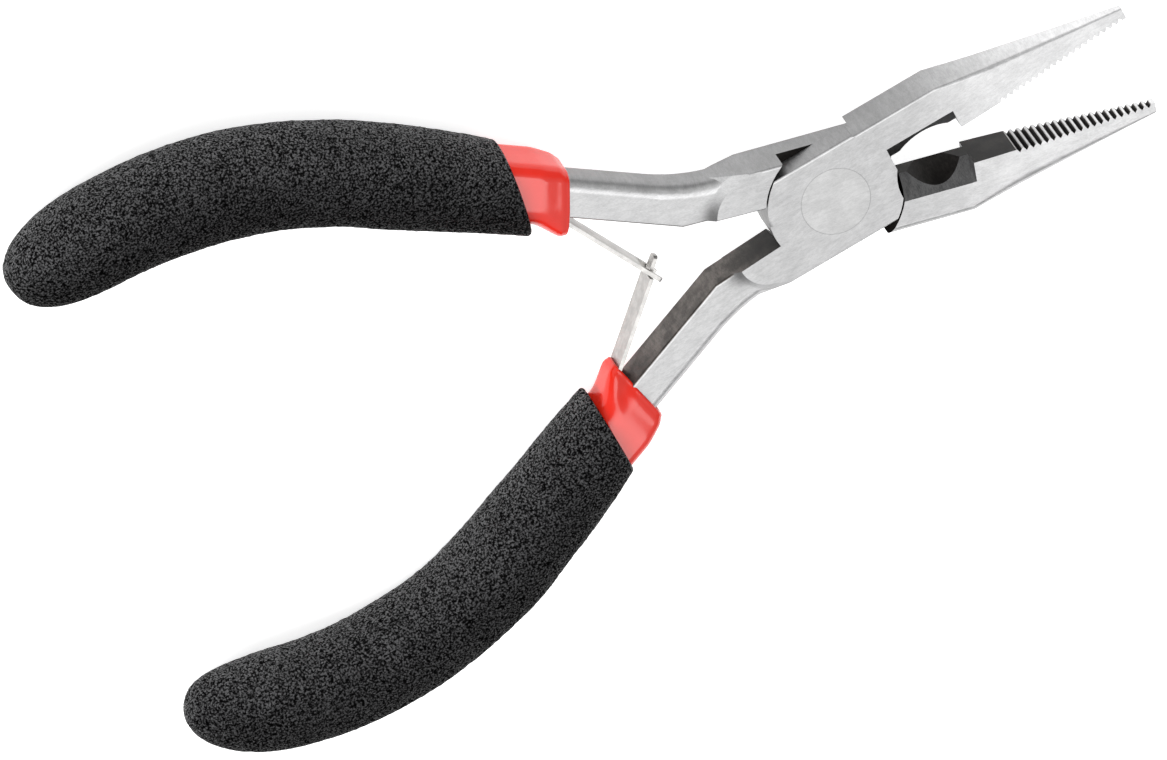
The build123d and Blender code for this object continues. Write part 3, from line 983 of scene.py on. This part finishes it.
    def seam(self, graph: Graph, x: object, y: object, face_z: object) -> bpy.types.NodeSocket:
        """Thin dark line round the rivet's flush head.

        Args:
            graph: The material's graph.
            x: Place along X.
            y: Place along Y.
            face_z: Z of the normal.

        Returns:
            A factor for the tone.
        """
        off = graph.math("SUBTRACT", plan_distance(graph, x, y), self.seam_radius)
        line = graph.times(graph.span(graph.math("ABSOLUTE", off), *self.seam_width),
                           graph.span(face_z, *self.seam_facing))
        return graph.without(graph.times(line, self.seam_depth))


@dataclass(frozen=True)
class RivetSteel:
    """Ground steel of the rivets, brushed with the levers but a touch brighter."""

    effects: Effects
    tone: float = 0.48
    stretch: tuple = (0.3, 1.0, 1.0)
    fineness: float = 11.0
    streak_gain: tuple = (0.3, 0.7, 0.84, 1.12)
    cloud_size: float = 0.5
    cloud_gain: tuple = (0.0, 1.0, 0.93, 1.04)
    roughness: tuple = (0.2, 0.8, 0.32, 0.46)
    relief: float = 0.00003
    relief_strength: float = 0.4

    def build(self) -> bpy.types.Material:
        """Make the material.

        Returns:
            The material.
        """
        surface = Surface.start("rivet_ground_steel")
        graph = surface.graph
        brushing = self.effects.brushing.use(graph, Place=surface.place, Stretch=self.stretch,
                                             Fineness=self.fineness)
        cloud = self.effects.cloud.use(graph, Place=surface.place, Size=self.cloud_size)["Tone"]
        tone = graph.times(self.tone, graph.span(brushing["Streaks"], *self.streak_gain),
                           graph.span(cloud, *self.cloud_gain))
        surface.feed(Base_Color=graph.join(tone, tone, tone), Metallic=1.0,
                     Roughness=graph.span(brushing["Streaks"], *self.roughness))
        surface.bump(brushing["Height"], self.relief, self.relief_strength)
        return surface.material


@dataclass(frozen=True)
class SpringSteel:
    """Rolled strip of the leaf springs: satin grey faces and bright cut edges."""

    effects: Effects
    face_tone: float = 0.42
    edge_tone: float = 0.58
    edge_facing: tuple = (0.5, 0.8)
    warmth: tuple = (1.02, 0.97)
    stretch: tuple = (0.5, 0.5, 1.0)
    fineness: float = 4.0
    streak_gain: tuple = (0.3, 0.7, 0.88, 1.08)
    cloud_size: float = 0.9
    cloud_gain: tuple = (0.0, 1.0, 0.86, 1.06)
    roughness: tuple = (0.42, 0.3)
    relief: float = 0.00002
    relief_strength: float = 0.4

    def build(self) -> bpy.types.Material:
        """Make the material.

        Returns:
            The material. The strips stand on edge, so their cut edges face up or down.
        """
        surface = Surface.start("rolled_spring_strip")
        graph = surface.graph
        _, _, face_z = graph.split(surface.facing)
        edge = graph.span(graph.math("ABSOLUTE", face_z), *self.edge_facing)
        cloud = self.effects.cloud.use(graph, Place=surface.place, Size=self.cloud_size)["Tone"]
        brushing = self.effects.brushing.use(graph, Place=surface.place, Stretch=self.stretch,
                                             Fineness=self.fineness)
        tone = graph.times(graph.blend(edge, self.face_tone, self.edge_tone),
                           graph.span(brushing["Streaks"], *self.streak_gain),
                           graph.span(cloud, *self.cloud_gain))
        red, blue = (graph.times(tone, gain) for gain in self.warmth)
        surface.feed(Base_Color=graph.join(red, tone, blue), Metallic=1.0,
                     Roughness=graph.blend(edge, *self.roughness))
        surface.bump(brushing["Height"], self.relief, self.relief_strength)
        return surface.material


@dataclass(frozen=True)
class GlossVinyl:
    """Dipped vinyl of the sleeves: strong red under a smooth, slightly wavy gloss."""

    effects: Effects
    light: tuple = (0.80, 0.024, 0.012, 1.0)
    deep: tuple = (0.76, 0.018, 0.004, 1.0)
    cloud_size: float = 0.25
    roughness: tuple = (0.0, 1.0, 0.13, 0.18)
    flat_facing: tuple = (0.8, 0.97)
    specular: tuple = (0.4, 1.3)
    wave_size: float = 0.8
    wave_detail: float = 2.0
    relief: float = 0.00005
    relief_strength: float = 0.15

    def build(self) -> bpy.types.Material:
        """Make the material.

        Returns:
            The material, glossier on the flat faces than round the corners.
        """
        surface = Surface.start("dipped_red_vinyl")
        graph = surface.graph
        cloud = self.effects.cloud.use(graph, Place=surface.place, Size=self.cloud_size)["Tone"]
        _, _, face_z = graph.split(surface.facing)
        flat = graph.span(graph.math("ABSOLUTE", face_z), *self.flat_facing)
        surface.feed(Base_Color=graph.mix(cloud, self.deep, self.light),
                     Roughness=graph.span(cloud, *self.roughness),
                     Specular_IOR_Level=graph.blend(flat, *self.specular))
        surface.bump(graph.noise(surface.place, self.wave_size, self.wave_detail),
                     self.relief, self.relief_strength)
        return surface.material


@dataclass(frozen=True)
class GrainyFoam:
    """Skinned foam rubber: near-black, with a fine pebbled grain that glints.

    The grain is noise less a share of Voronoi cells. Its peaks are shinier than its pits and
    painted much paler, partly grain tone and partly painted glints. Tone and shine are painted
    lighter on the +Y side of a grip and darker on the -Y side: painted light and shade.
    """

    effects: Effects
    tone: float = 0.0045
    cloud_size: float = 0.15
    cloud_gain: tuple = (0.0, 1.0, 0.85, 1.15)
    cell_size: float = 4.0
    cell_share: float = 0.5
    grit_size: float = 4.6
    grit_detail: float = 3.0
    grit_roughness: float = 0.75
    grit_share: float = 1.7
    peak: tuple = (0.47, 0.85)
    # Peaks are painted up to 16 times paler: partly grain tone, partly painted glints.
    peak_tone_and_glint_gain: tuple = (0.35, 16.0)
    # Painted light and shade: tone and shine run from dark on the -Y side to light on the +Y side.
    painted_light_shade_facing: tuple = (-0.8, 0.5, 0.1, 1.3)
    blueness: float = 1.04
    roughness: tuple = (0.6, 0.32)
    specular: float = 0.5
    relief: float = 0.00026
    relief_strength: float = 0.9

    def build(self) -> bpy.types.Material:
        """Make the material.

        Returns:
            The material.
        """
        surface = Surface.start("black_foam_rubber")
        graph = surface.graph
        cloud = self.effects.cloud.use(graph, Place=surface.place, Size=self.cloud_size)["Tone"]
        grit = graph.noise(surface.place, self.grit_size, self.grit_detail, self.grit_roughness)
        cells = graph.cells(surface.place, self.cell_size)
        grain = graph.math("SUBTRACT", graph.times(grit, self.grit_share),
                           graph.times(cells, self.cell_share))
        peak = graph.span(grain, *self.peak)
        _, face_y, _ = graph.split(surface.facing)
        # Painted light and shade: darker on the -Y side of a grip, lighter on the +Y side, in tone
        # and in shine.
        painted_light_shade = graph.span(face_y, *self.painted_light_shade_facing)
        # The peaks' pale tone is partly grain and partly painted glints.
        tone = graph.times(self.tone, graph.blend(peak, *self.peak_tone_and_glint_gain), painted_light_shade,
                           graph.span(cloud, *self.cloud_gain))
        surface.feed(Base_Color=graph.join(tone, tone, graph.times(tone, self.blueness)),
                     Roughness=graph.blend(peak, *self.roughness),
                     Specular_IOR_Level=graph.times(peak, painted_light_shade, self.specular))
        surface.bump(grain, self.relief, self.relief_strength)
        return surface.material


# ---- pieces -------------------------------------------------------------------------

@dataclass
class FoamGrip:
    """A foam grip: a squarish oval bar along the handle, with a cut mouth and a blunt butt.

    Stations are rows of distance past the bend, inner half width, outer half width and half
    height, in millimetres. The plane that cuts the mouth passes through -face_x and mouth_y
    and is tilted about Z by face_tilt degrees.
    """

    plan: HandlePlan
    stations: list
    face_x: float
    face_tilt: float
    end: float
    end_start: float = 65.0
    end_power: float = 2.3
    end_reach: float = 0.995
    squareness: float = 2.22
    square_gain: float = 0.06
    square_run: tuple = (18.0, 34.0)
    mouth_y: float = -12.0
    mouth_guess: float = 20.0
    mouth_passes: int = 6
    columns: int = 176
    rows: int = 300
    end_rows: int = 60
    lip_rows: int = 5
    lip: float = 0.38
    wall: float = 1.15
    socket: tuple = (0.0, 0.4, 8.0)
    grain: float = 0.75
    grain_height: float = 0.018
    swell: float = 9.0
    swell_height: float = 0.03
    still_mouth_rows: tuple = (4.0, 12.0)
    still_end_rows: tuple = (0.0, 10.0)
    seed: int = 5

    def section(self, run: np.ndarray, angle: np.ndarray, shrink: np.ndarray) -> tuple:
        """Offset and height round a section: a superellipse, wider on one side.

        Args:
            run: Distance past the bend.
            angle: Direction round the section, 0 towards the other handle.
            shrink: How far the section lies inside the grip's skin.

        Returns:
            Offset inwards and height above the mid-plane.
        """
        inner, outer, half_height = (soft_profile(run, self.stations, column)
                                     for column in (1, 2, 3))
        share = np.clip((run - self.end_start) / (self.end - self.end_start), 0.0, 1.0)
        closing = (1 - share ** self.end_power) ** (1 / self.end_power)
        power = 2 / (self.squareness + self.square_gain * smoothstep(run, *self.square_run))
        side, up = np.cos(angle), np.sin(angle)
        width = np.where(side > 0, inner, outer) * closing - shrink
        offset = np.sign(side) * np.abs(side) ** power * np.maximum(width, 0.0)
        height = np.sign(up) * np.abs(up) ** power * np.maximum(half_height * closing - shrink, 0.0)
        return offset, height

    def mouth_run(self, angle: np.ndarray, shrink: float) -> np.ndarray:
        """Where each line of the skin meets the mouth's cutting plane.

        The shank is straight there, so each pass solves one linear equation with the offsets
        of the last one.

        Args:
            angle: Direction round the section of each line.
            shrink: How far the lines lie inside the skin.

        Returns:
            Distance past the bend of each line's end.
        """
        tilt = radians(self.face_tilt)
        normal = np.array([cos(tilt), sin(tilt)])
        level = normal @ np.array([-self.face_x, self.mouth_y])
        run = np.full(angle.shape, self.mouth_guess)
        for _ in range(self.mouth_passes):
            offset, _ = self.section(run, angle, np.full(angle.shape, shrink))
            beside = self.plan.start @ normal + offset * (self.plan.inward @ normal)
            run = (level - beside) / (self.plan.along @ normal)
        return run

    def ring(self, run: np.ndarray, angle: np.ndarray, shrink: float) -> np.ndarray:
        """Rows of section points at the given distances.

        Args:
            run: Distances past the bend, rows by columns.
            angle: Direction round the section of each column.
            shrink: How far the rows lie inside the skin.

        Returns:
            Points in the closed frame, rows by columns by 3.
        """
        spread = np.broadcast_to(angle, run.shape)
        offset, height = self.section(run, spread, np.full(run.shape, shrink))
        return self.plan.at(run, offset, height)

    def skin(self) -> np.ndarray:
        """Rings from the butt over the skin to the mouth, across its face and into the socket.

        Returns:
            Points in the closed frame, rows by columns by 3.
        """
        angle = np.arange(self.columns) / self.columns * 2 * pi
        swing = np.sin(np.linspace(pi / 2 * self.end_reach, 0.0, self.end_rows))
        end = self.end_start + (self.end - self.end_start) * swing
        mouth = self.mouth_run(angle, 0.0)
        first = mouth + self.lip
        share = np.linspace(1.0, 0.0, self.rows - self.end_rows)[1:, None]
        body = first + (self.end_start - first) * share
        butt = np.broadcast_to(end[:, None], (self.end_rows, self.columns))
        rings = [self.ring(butt, angle, 0.0), self.ring(body, angle, 0.0)]
        for turn in np.linspace(0.0, pi / 2, self.lip_rows + 1)[1:]:
            rings.append(self.ring((mouth + self.lip * (1 - sin(turn)))[None], angle,
                                   self.lip * (1 - cos(turn))))
        inner_mouth = self.mouth_run(angle, self.wall)
        for depth in self.socket:
            rings.append(self.ring((inner_mouth + depth)[None], angle, self.wall))
        return np.concatenate(rings)

    def grained(self, points: np.ndarray) -> np.ndarray:
        """Push the skin out and in by a fine grain and a slow swell, still at both ends.

        Args:
            points: The skin's rings.

        Returns:
            The rings with their relief.
        """
        rows, columns, _ = points.shape
        row = np.arange(rows).astype(float)
        grain = blurred_noise(rows, columns, self.grain, self.seed)
        swell = blurred_noise(rows, columns, self.swell, self.seed + 1)
        still = (smoothstep(row[::-1], *self.still_mouth_rows)
                 * smoothstep(row, *self.still_end_rows))[:, None]
        relief = (self.grain_height * grain + self.swell_height * swell) * still
        return points + grid_normals(points) * relief[..., None]

    def build(self, finish: bpy.types.Material) -> bpy.types.Object:
        """Make the grip and dress it.

        Args:
            finish: The foam's material.

        Returns:
            The finished piece.
        """
        side = self.plan.side.value
        piece = closed_shell(side + "_foam_grip", self.plan.place(self.grained(self.skin())))
        piece.data.materials.append(finish)
        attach(piece, self.plan.lever)
        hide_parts(side + "_grip")
        return piece


@dataclass
class VinylSleeve:
    """The red sleeve on the tang: a soft square tube whose mouth wraps shank and spring.

    Inner means towards the other handle, where a lobe of the mouth holds the spring. Lengths
    are in millimetres and slant in degrees.
    """

    plan: HandlePlan
    half: float = 3.72
    corner: float = 1.6
    inner_corner: float = 2.6
    mouth_half: float = 2.98
    mouth_outer: float = 3.3
    mouth_corner: float = 1.35
    mouth_inner_corner: float = 1.35
    corner_shrink: float = 0.6
    lobe: float = 1.1
    lobe_height: float = 1.95
    lobe_span: tuple = (0.9, 3.1)
    mouth_shift: float = -0.15
    slant: float = 10.0
    slant_span: tuple = (0.0, 8.0)
    rim: float = 0.34
    rim_ease: float = 0.22
    rim_ease_depth: float = 0.9
    taper: tuple = (-0.4, 4.2)
    inside_end: float = 11.0
    bore_depth: float = 5.0
    skin_rows: int = 40
    rim_rows: int = 11
    bore_rows: int = 8
    columns_per_side: int = 14

    def outline(self, inner: np.ndarray, outer: np.ndarray, half: np.ndarray, corner: np.ndarray,
                inner_corner: np.ndarray, pinch: np.ndarray) -> tuple:
        """A rounded rectangle that is pinched in height on its inner side.

        Each corner is a quarter circle and each side a straight run, with the same number of
        points on each, so that all sections match.

        Args:
            inner: Half width towards the other handle.
            outer: Half width on the far side.
            half: Half height.
            corner: Corner radius on the far side.
            inner_corner: Corner radius towards the other handle.
            pinch: Height left at the inner end, as a share.

        Returns:
            Offsets and heights, with a last axis round the section.
        """
        count = self.columns_per_side
        quarter = np.linspace(0.0, pi / 2, count, endpoint=False)
        share = np.linspace(0.0, 1.0, count, endpoint=False)
        signs = ((1, 1), (-1, 1), (-1, -1), (1, -1))
        offsets, heights = [], []

        def circle(index: int) -> tuple:
            """Place a corner's circle.

            Args:
                index: Number of the corner, from 0 to 4.

            Returns:
                Its centre across and above, and its radius.
            """
            side, up = signs[index % 4]
            reach, bend = (inner, inner_corner) if side > 0 else (outer, corner)
            return side * (reach - bend), up * (half - bend), bend

        for index in range(4):
            across, above, bend = circle(index)
            next_across, next_above, next_bend = circle(index + 1)
            angle = quarter + index * pi / 2
            turned = (index + 1) * pi / 2
            begin = across + bend * cos(turned), above + bend * sin(turned)
            finish = next_across + next_bend * cos(turned), next_above + next_bend * sin(turned)
            offsets += [across + bend * np.cos(angle), begin[0] + (finish[0] - begin[0]) * share]
            heights += [above + bend * np.sin(angle), begin[1] + (finish[1] - begin[1]) * share]
        offset, height = np.concatenate(offsets, -1), np.concatenate(heights, -1)
        return offset, height * (1 - (1 - pinch) * smoothstep(offset, *self.lobe_span))

    def rings(self) -> np.ndarray:
        """Rings from inside the grip over the skin, round the rim and back into the bore.

        Every size goes from its value at the mouth to its value in the body along the taper.
        The mouth leans back away from the lobe.

        Returns:
            Points in the closed frame, rows by columns by 3.
        """
        curl = np.linspace(0.0, pi, self.rim_rows + 2)
        depth = np.concatenate([np.linspace(self.inside_end, 0.0, self.skin_rows),
                                -self.rim * np.sin(curl)[1:-1],
                                np.linspace(0.0, self.bore_depth, self.bore_rows)])[:, None]
        shrink = np.concatenate([np.zeros(self.skin_rows), self.rim * (1 - np.cos(curl))[1:-1],
                                 np.full(self.bore_rows, 2 * self.rim)])[:, None]
        grown = smoothstep(depth, *self.taper)
        near_rim = np.clip(depth, 0.0, self.rim_ease_depth) / self.rim_ease_depth
        inset = shrink + self.rim_ease * (1 - near_rim) ** 2
        inner_mouth = self.plan.mouth_rise + self.lobe
        inner = inner_mouth + (self.half - inner_mouth) * grown - inset
        outer = self.mouth_outer + (self.half - self.mouth_outer) * np.sqrt(grown) - inset
        half = self.mouth_half + (self.half - self.mouth_half) * grown - inset
        corner, inner_corner = (
            mouth + (body - mouth) * grown - shrink * self.corner_shrink
            for mouth, body in ((self.mouth_corner, self.corner),
                                (self.mouth_inner_corner, self.inner_corner)))
        pinch = self.lobe_height / self.mouth_half
        offset, height = self.outline(inner, outer, half, corner, inner_corner,
                                      pinch + (1 - pinch) * grown)
        lean = tan(radians(self.slant)) * (1 - smoothstep(depth, *self.slant_span))
        run = self.plan.mouth_run + self.mouth_shift + depth + (inner_mouth - offset) * lean
        return self.plan.at(run, offset, height)

    def build(self, finish: bpy.types.Material) -> bpy.types.Object:
        """Make the sleeve and dress it.

        Args:
            finish: The vinyl's material.

        Returns:
            The finished piece.
        """
        side = self.plan.side.value
        piece = closed_shell(side + "_vinyl_sleeve", self.plan.place(self.rings()))
        piece.data.materials.append(finish)
        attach(piece, self.plan.lever)
        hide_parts(side + "_inner_sleeve")
        return piece


@dataclass
class LeafSpring:
    """One leaf spring as a single strip: its foot on the tang, its bend and its free blade.

    The tip is a fork, with a slot, or a narrow tongue. Lengths are in millimetres.
    """

    plan: HandlePlan
    forked: bool
    strip: float = 0.45
    width: float = 3.0
    blade: float = 13.5
    foot: float = 9.0
    bend_radius: float = 1.6
    tip_round: float = 0.4
    tongue_width: float = 1.3
    tongue_length: float = 2.3
    slot_width: float = 1.7
    slot_length: float = 3.0
    edge_round: float = 0.07
    sheared_angle: float = 40.0
    step: float = 0.45
    cut_lines: int = 7
    round_lines: int = 6
    flex: tuple = (-0.6, 3.6)

    @property
    def lie(self) -> float:
        """How far the strip's middle lies from the tang's centreline."""
        return (SHANK + self.strip) / 2

    @property
    def reach(self) -> float:
        """Length from the corner, where foot and blade would meet, to the sleeve's mouth."""
        return (self.plan.mouth_rise - self.lie) / float(self.plan.leaf @ self.plan.inward)

    @property
    def turn(self) -> float:
        """Angle of the bend between the foot and the blade."""
        return np.arccos(np.clip(float(-self.plan.along @ self.plan.leaf), -1, 1))

    @property
    def total(self) -> float:
        """Length of the strip from the foot's end to the tip."""
        saved = 2 * self.bend_radius * tan(self.turn / 2) - self.bend_radius * self.turn
        return self.foot + self.reach + self.blade - saved

    def centreline(self, length: np.ndarray) -> tuple:
        """Points and normals of the strip's middle: foot, arc and straight blade.

        Args:
            length: Distance from the foot's end.

        Returns:
            Plan points and unit normals that point to the blade's upper side.
        """
        plan = self.plan
        arc_start = self.foot - self.bend_radius * tan(self.turn / 2)
        arc_length = self.bend_radius * self.turn
        foot_end = plan.mouth - plan.leaf * self.reach + plan.along * self.foot
        flat = foot_end - plan.along * length[..., None]
        swing = np.clip(length - arc_start, 0.0, arc_length) / self.bend_radius
        sine, cosine = np.sin(swing)[..., None], np.cos(swing)[..., None]
        arc = (foot_end - plan.along * arc_start
               + self.bend_radius * (sine * -plan.along + (1 - cosine) * plan.inward))
        rest = np.clip(length - arc_start - arc_length, 0.0, None)[..., None]
        points = np.where((length < arc_start)[..., None], flat, arc + rest * plan.leaf)
        heading = cosine * -plan.along + sine * plan.inward
        return points, np.stack([-heading[..., 1], heading[..., 0]], -1)

    def layout(self) -> tuple:
        """Grid of the flat strip, closer at its tip, and the cells that the tip's cut removes.

        Returns:
            Distances from the foot's end, distances across, and which cells are removed.
        """
        total, half = self.total, self.width / 2
        tip_half = half if self.forked else self.tongue_width / 2
        cut_half = self.slot_width / 2 if self.forked else self.tongue_width / 2
        cut_start = total - (self.slot_length if self.forked else self.tongue_length)
        round_start = total - self.tip_round
        swing = np.linspace(0.0, pi / 2, self.round_lines)
        rounded = tip_half - self.tip_round * (1 - np.sin(swing))
        across = np.unique(np.round(np.concatenate([[0.0, cut_half, half], rounded]), 6))
        across = np.concatenate([-across[:0:-1], across])
        ends = np.concatenate([np.arange(0.0, cut_start, self.step),
                               np.linspace(cut_start, round_start, self.cut_lines),
                               np.linspace(round_start, total, self.round_lines)[1:]])
        length, side = np.meshgrid(ends, across, indexing="ij")
        over = np.clip(np.abs(side) - (tip_half - self.tip_round), 0.0, self.tip_round)
        tip = np.sqrt(self.tip_round ** 2 - over ** 2) / self.tip_round
        last = np.clip(length - round_start, 0.0, None)
        length = np.where(last > 0, round_start + last * tip, length)
        past = (ends[1:] + ends[:-1])[:, None] / 2 > cut_start
        middle = np.abs(across[1:] + across[:-1])[None, :] / 2
        return length, side, past & ((middle < cut_half) if self.forked else (middle > cut_half))

    def build(self, finish: bpy.types.Material) -> bpy.types.Object:
        """Make the strip, round its edges and dress it.

        Args:
            finish: The strip's material.

        Returns:
            The finished piece.
        """
        length, across, removed = self.layout()
        points, normals = self.centreline(length)
        sheets = [self.plan.place(np.concatenate([points + normals * level,
                                                  (MID + across)[..., None]], -1))
                  for level in (self.strip / 2, -self.strip / 2)]
        side, plan = self.plan.side.value, self.plan
        piece = walled_plate(side + "_leaf_spring", sheets[0], sheets[1], ~removed)
        self.round_edges(piece)
        piece.data.materials.append(finish)
        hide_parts(side + "_spring_foot", side + "_spring_blade")
        plan.place_point(plan.mouth + plan.leaf * self.flex[0])
        plan.place_point(plan.mouth + plan.leaf * self.flex[1])
        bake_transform(piece)
        return piece

    def round_edges(self, piece: bpy.types.Object) -> None:
        """Round the sheared edges of the strip with a narrow bevel.

        Args:
            piece: The strip.
        """
        work = bmesh.new()
        work.from_mesh(piece.data)
        sharp = [edge for edge in work.edges
                 if edge.calc_face_angle(0.0) > radians(self.sheared_angle)]
        bmesh.ops.bevel(work, geom=sharp, offset=self.edge_round * MM, segments=2, profile=0.5,
                        affect="EDGES", clamp_overlap=True)
        bmesh.ops.recalc_face_normals(work, faces=work.faces)
        work.to_mesh(piece.data)
        work.free()


@dataclass
class SteelWork:
    """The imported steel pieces, which keep their shape and get their finishes."""

    effects: Effects
    nodes: dict
    rivets: tuple = ("pivot_rivet", "front_spring_rivet", "back_spring_rivet")

    def dress(self) -> None:
        """Give each steel node its finish."""
        for plan in (FRONT_PLAN, BACK_PLAN):
            self.cover(plan.lever, LeverSteel(self.effects, plan).build())
        finish = RivetSteel(self.effects).build()
        for name in self.rivets:
            self.cover(name, finish)

    def cover(self, name: str, finish: bpy.types.Material) -> None:
        """Put a finish in a node's material slots.

        Args:
            name: The node.
            finish: Its material.
        """
        node = self.nodes[name]
        node.data.materials.clear()
        node.data.materials.append(finish)
        LOG.info("%s: %s", name, finish.name)


@dataclass(frozen=True)
class SoftBox:
    """A soft rectangular light that faces the joint, in metres and watts."""

    name: str
    place: tuple
    size: tuple
    power: float

    def build(self) -> None:
        """Make the light."""
        data = bpy.data.lights.new(self.name, "AREA")
        data.shape = "RECTANGLE"
        data.size, data.size_y = self.size
        data.energy = self.power
        lamp = bpy.data.objects.new(self.name, data)
        lamp.location = self.place
        lamp.rotation_euler = (-Vector(self.place)).to_track_quat("-Z", "Y").to_euler()
        bpy.context.scene.collection.objects.link(lamp)


@dataclass
class Studio:
    """A pale floor, soft lights and the camera.

    The camera looks at the front face of the joint from a third of the way over. Its axes are
    in the shared frame, and look_at is its aim right of and above the joint, in metres.
    """

    boxes: tuple = (SoftBox("top_box", (0.04, -0.12, 0.68), (0.60, 1.05), 2.6),
                    SoftBox("far_box", (-0.10, 0.74, 0.44), (0.8, 0.72), 1.5),
                    SoftBox("side_strip", (-0.72, 0.05, 0.50), (0.14, 0.5), 3.6))
    sky_tone: float = 0.92
    sky_strength: float = 0.45
    floor_gap: float = 0.0002
    floor_reach: float = 1.5
    floor_tone: float = 0.92
    floor_glow: float = 0.65
    floor_roughness: float = 0.9
    lens: float = 1000.0
    sensor: float = 36.0
    view_width: float = 0.1248
    clip_end: float = 20.0
    right: tuple = (0.9140, -0.2888, 0.2852)
    up: tuple = (0.3896, 0.8212, -0.4171)
    look_at: tuple = (-0.0270, -0.0191)

    def build(self, low: Vector) -> None:
        """Set up the stage.

        Args:
            low: Lowest corner of the object's box.
        """
        self.floor(low.z - self.floor_gap)
        for box in self.boxes:
            box.build()
        world = bpy.data.worlds.new("studio")
        world.use_nodes = True
        background = world.node_tree.nodes["Background"]
        background.inputs["Color"].default_value = grey(self.sky_tone)
        background.inputs["Strength"].default_value = self.sky_strength
        bpy.context.scene.world = world
        bpy.context.scene.view_settings.view_transform = "Standard"
        self.camera()

    def floor(self, height: float) -> None:
        """A large matt white sheet under the object.

        Args:
            height: Where it lies, in metres.
        """
        surface = Surface.start("pale_floor")
        surface.feed(Base_Color=grey(self.floor_tone), Roughness=self.floor_roughness,
                     Emission_Color=grey(1.0), Emission_Strength=self.floor_glow)
        reach = self.floor_reach
        corners = [(-reach, -reach, height), (reach, -reach, height), (reach, reach, height),
                   (-reach, reach, height)]
        mesh = bpy.data.meshes.new("pale_floor")
        mesh.from_pydata(corners, [], [(0, 1, 2, 3)])
        mesh.materials.append(surface.material)
        sheet = bpy.data.objects.new("pale_floor", mesh)
        bpy.context.scene.collection.objects.link(sheet)
        sheet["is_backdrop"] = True

    def camera(self) -> None:
        """A long lens, so far away that near and far parts have one scale."""
        right, up = Vector(self.right), Vector(self.up)
        back = right.cross(up).normalized()
        aim = Vector((0.0, 0.0, JOINT_THICK)) * MM + right * self.look_at[0] + up * self.look_at[1]
        place = aim + back * (self.view_width * self.lens / self.sensor)
        data = bpy.data.cameras.new("view")
        data.lens = self.lens
        data.sensor_width = self.sensor
        data.clip_end = self.clip_end
        eye = bpy.data.objects.new("view", data)
        eye.matrix_world = Matrix([[right[i], up[i], back[i], place[i]] for i in range(3)]
                                  + [[0.0, 0.0, 0.0, 1.0]])
        bpy.context.scene.collection.objects.link(eye)
        bpy.context.scene.camera = eye


# Distance past the bend, inner half width, outer half width and half height.
FRONT_GRIP = [
    (14.0, 5.05, 4.30, 4.55),
    (20.0, 5.08, 4.55, 4.75),
    (24.0, 5.08, 5.15, 4.95),
    (30.0, 5.08, 5.75, 5.10),
    (36.0, 5.10, 6.00, 5.20),
    (48.0, 5.12, 6.02, 5.25),
    (57.0, 5.15, 6.00, 5.25),
    (66.0, 5.05, 5.90, 5.15),
    (78.0, 4.80, 5.60, 5.00),
]
BACK_GRIP = [
    (14.0, 5.10, 4.20, 4.50),
    (20.0, 5.18, 4.40, 4.70),
    (24.0, 5.32, 5.00, 4.95),
    (30.0, 5.53, 5.40, 5.15),
    (36.0, 5.68, 5.52, 5.25),
    (48.0, 5.80, 5.66, 5.30),
    (57.0, 5.92, 5.62, 5.30),
    (66.0, 5.92, 5.35, 5.20),
    (78.0, 5.50, 5.20, 5.00),
]


def main() -> None:
    """Load the frame, build and dress every piece, and set the stage."""
    logging.basicConfig(level=logging.INFO, format="%(name)s: %(message)s")
    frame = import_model()
    cad_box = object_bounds()
    effects = Effects()
    SteelWork(effects, frame["nodes"]).dress()
    strip = SpringSteel(effects).build()
    vinyl = GlossVinyl(effects).build()
    foam = GrainyFoam(effects).build()
    pieces = [
        LeafSpring(FRONT_PLAN, forked=False).build(strip),
        LeafSpring(BACK_PLAN, forked=True).build(strip),
        VinylSleeve(FRONT_PLAN).build(vinyl),
        VinylSleeve(BACK_PLAN, inner_corner=3.1, mouth_inner_corner=2.4, lobe_height=2.7,
                    lobe=2.0, mouth_shift=-0.2, slant=13.0).build(vinyl),
        FoamGrip(FRONT_PLAN, FRONT_GRIP, face_x=32.95, face_tilt=3.0, end=77.2,
                 seed=5).build(foam),
        FoamGrip(BACK_PLAN, BACK_GRIP, face_x=34.1, face_tilt=-6.5, end=77.4, end_power=2.5,
                 seed=11).build(foam),
    ]
    for piece in pieces:
        LOG.info("%s: %d faces", piece.name, len(piece.data.polygons))
    Studio().build(Vector(cad_box[0]))


if __name__ == "__main__":
    main()
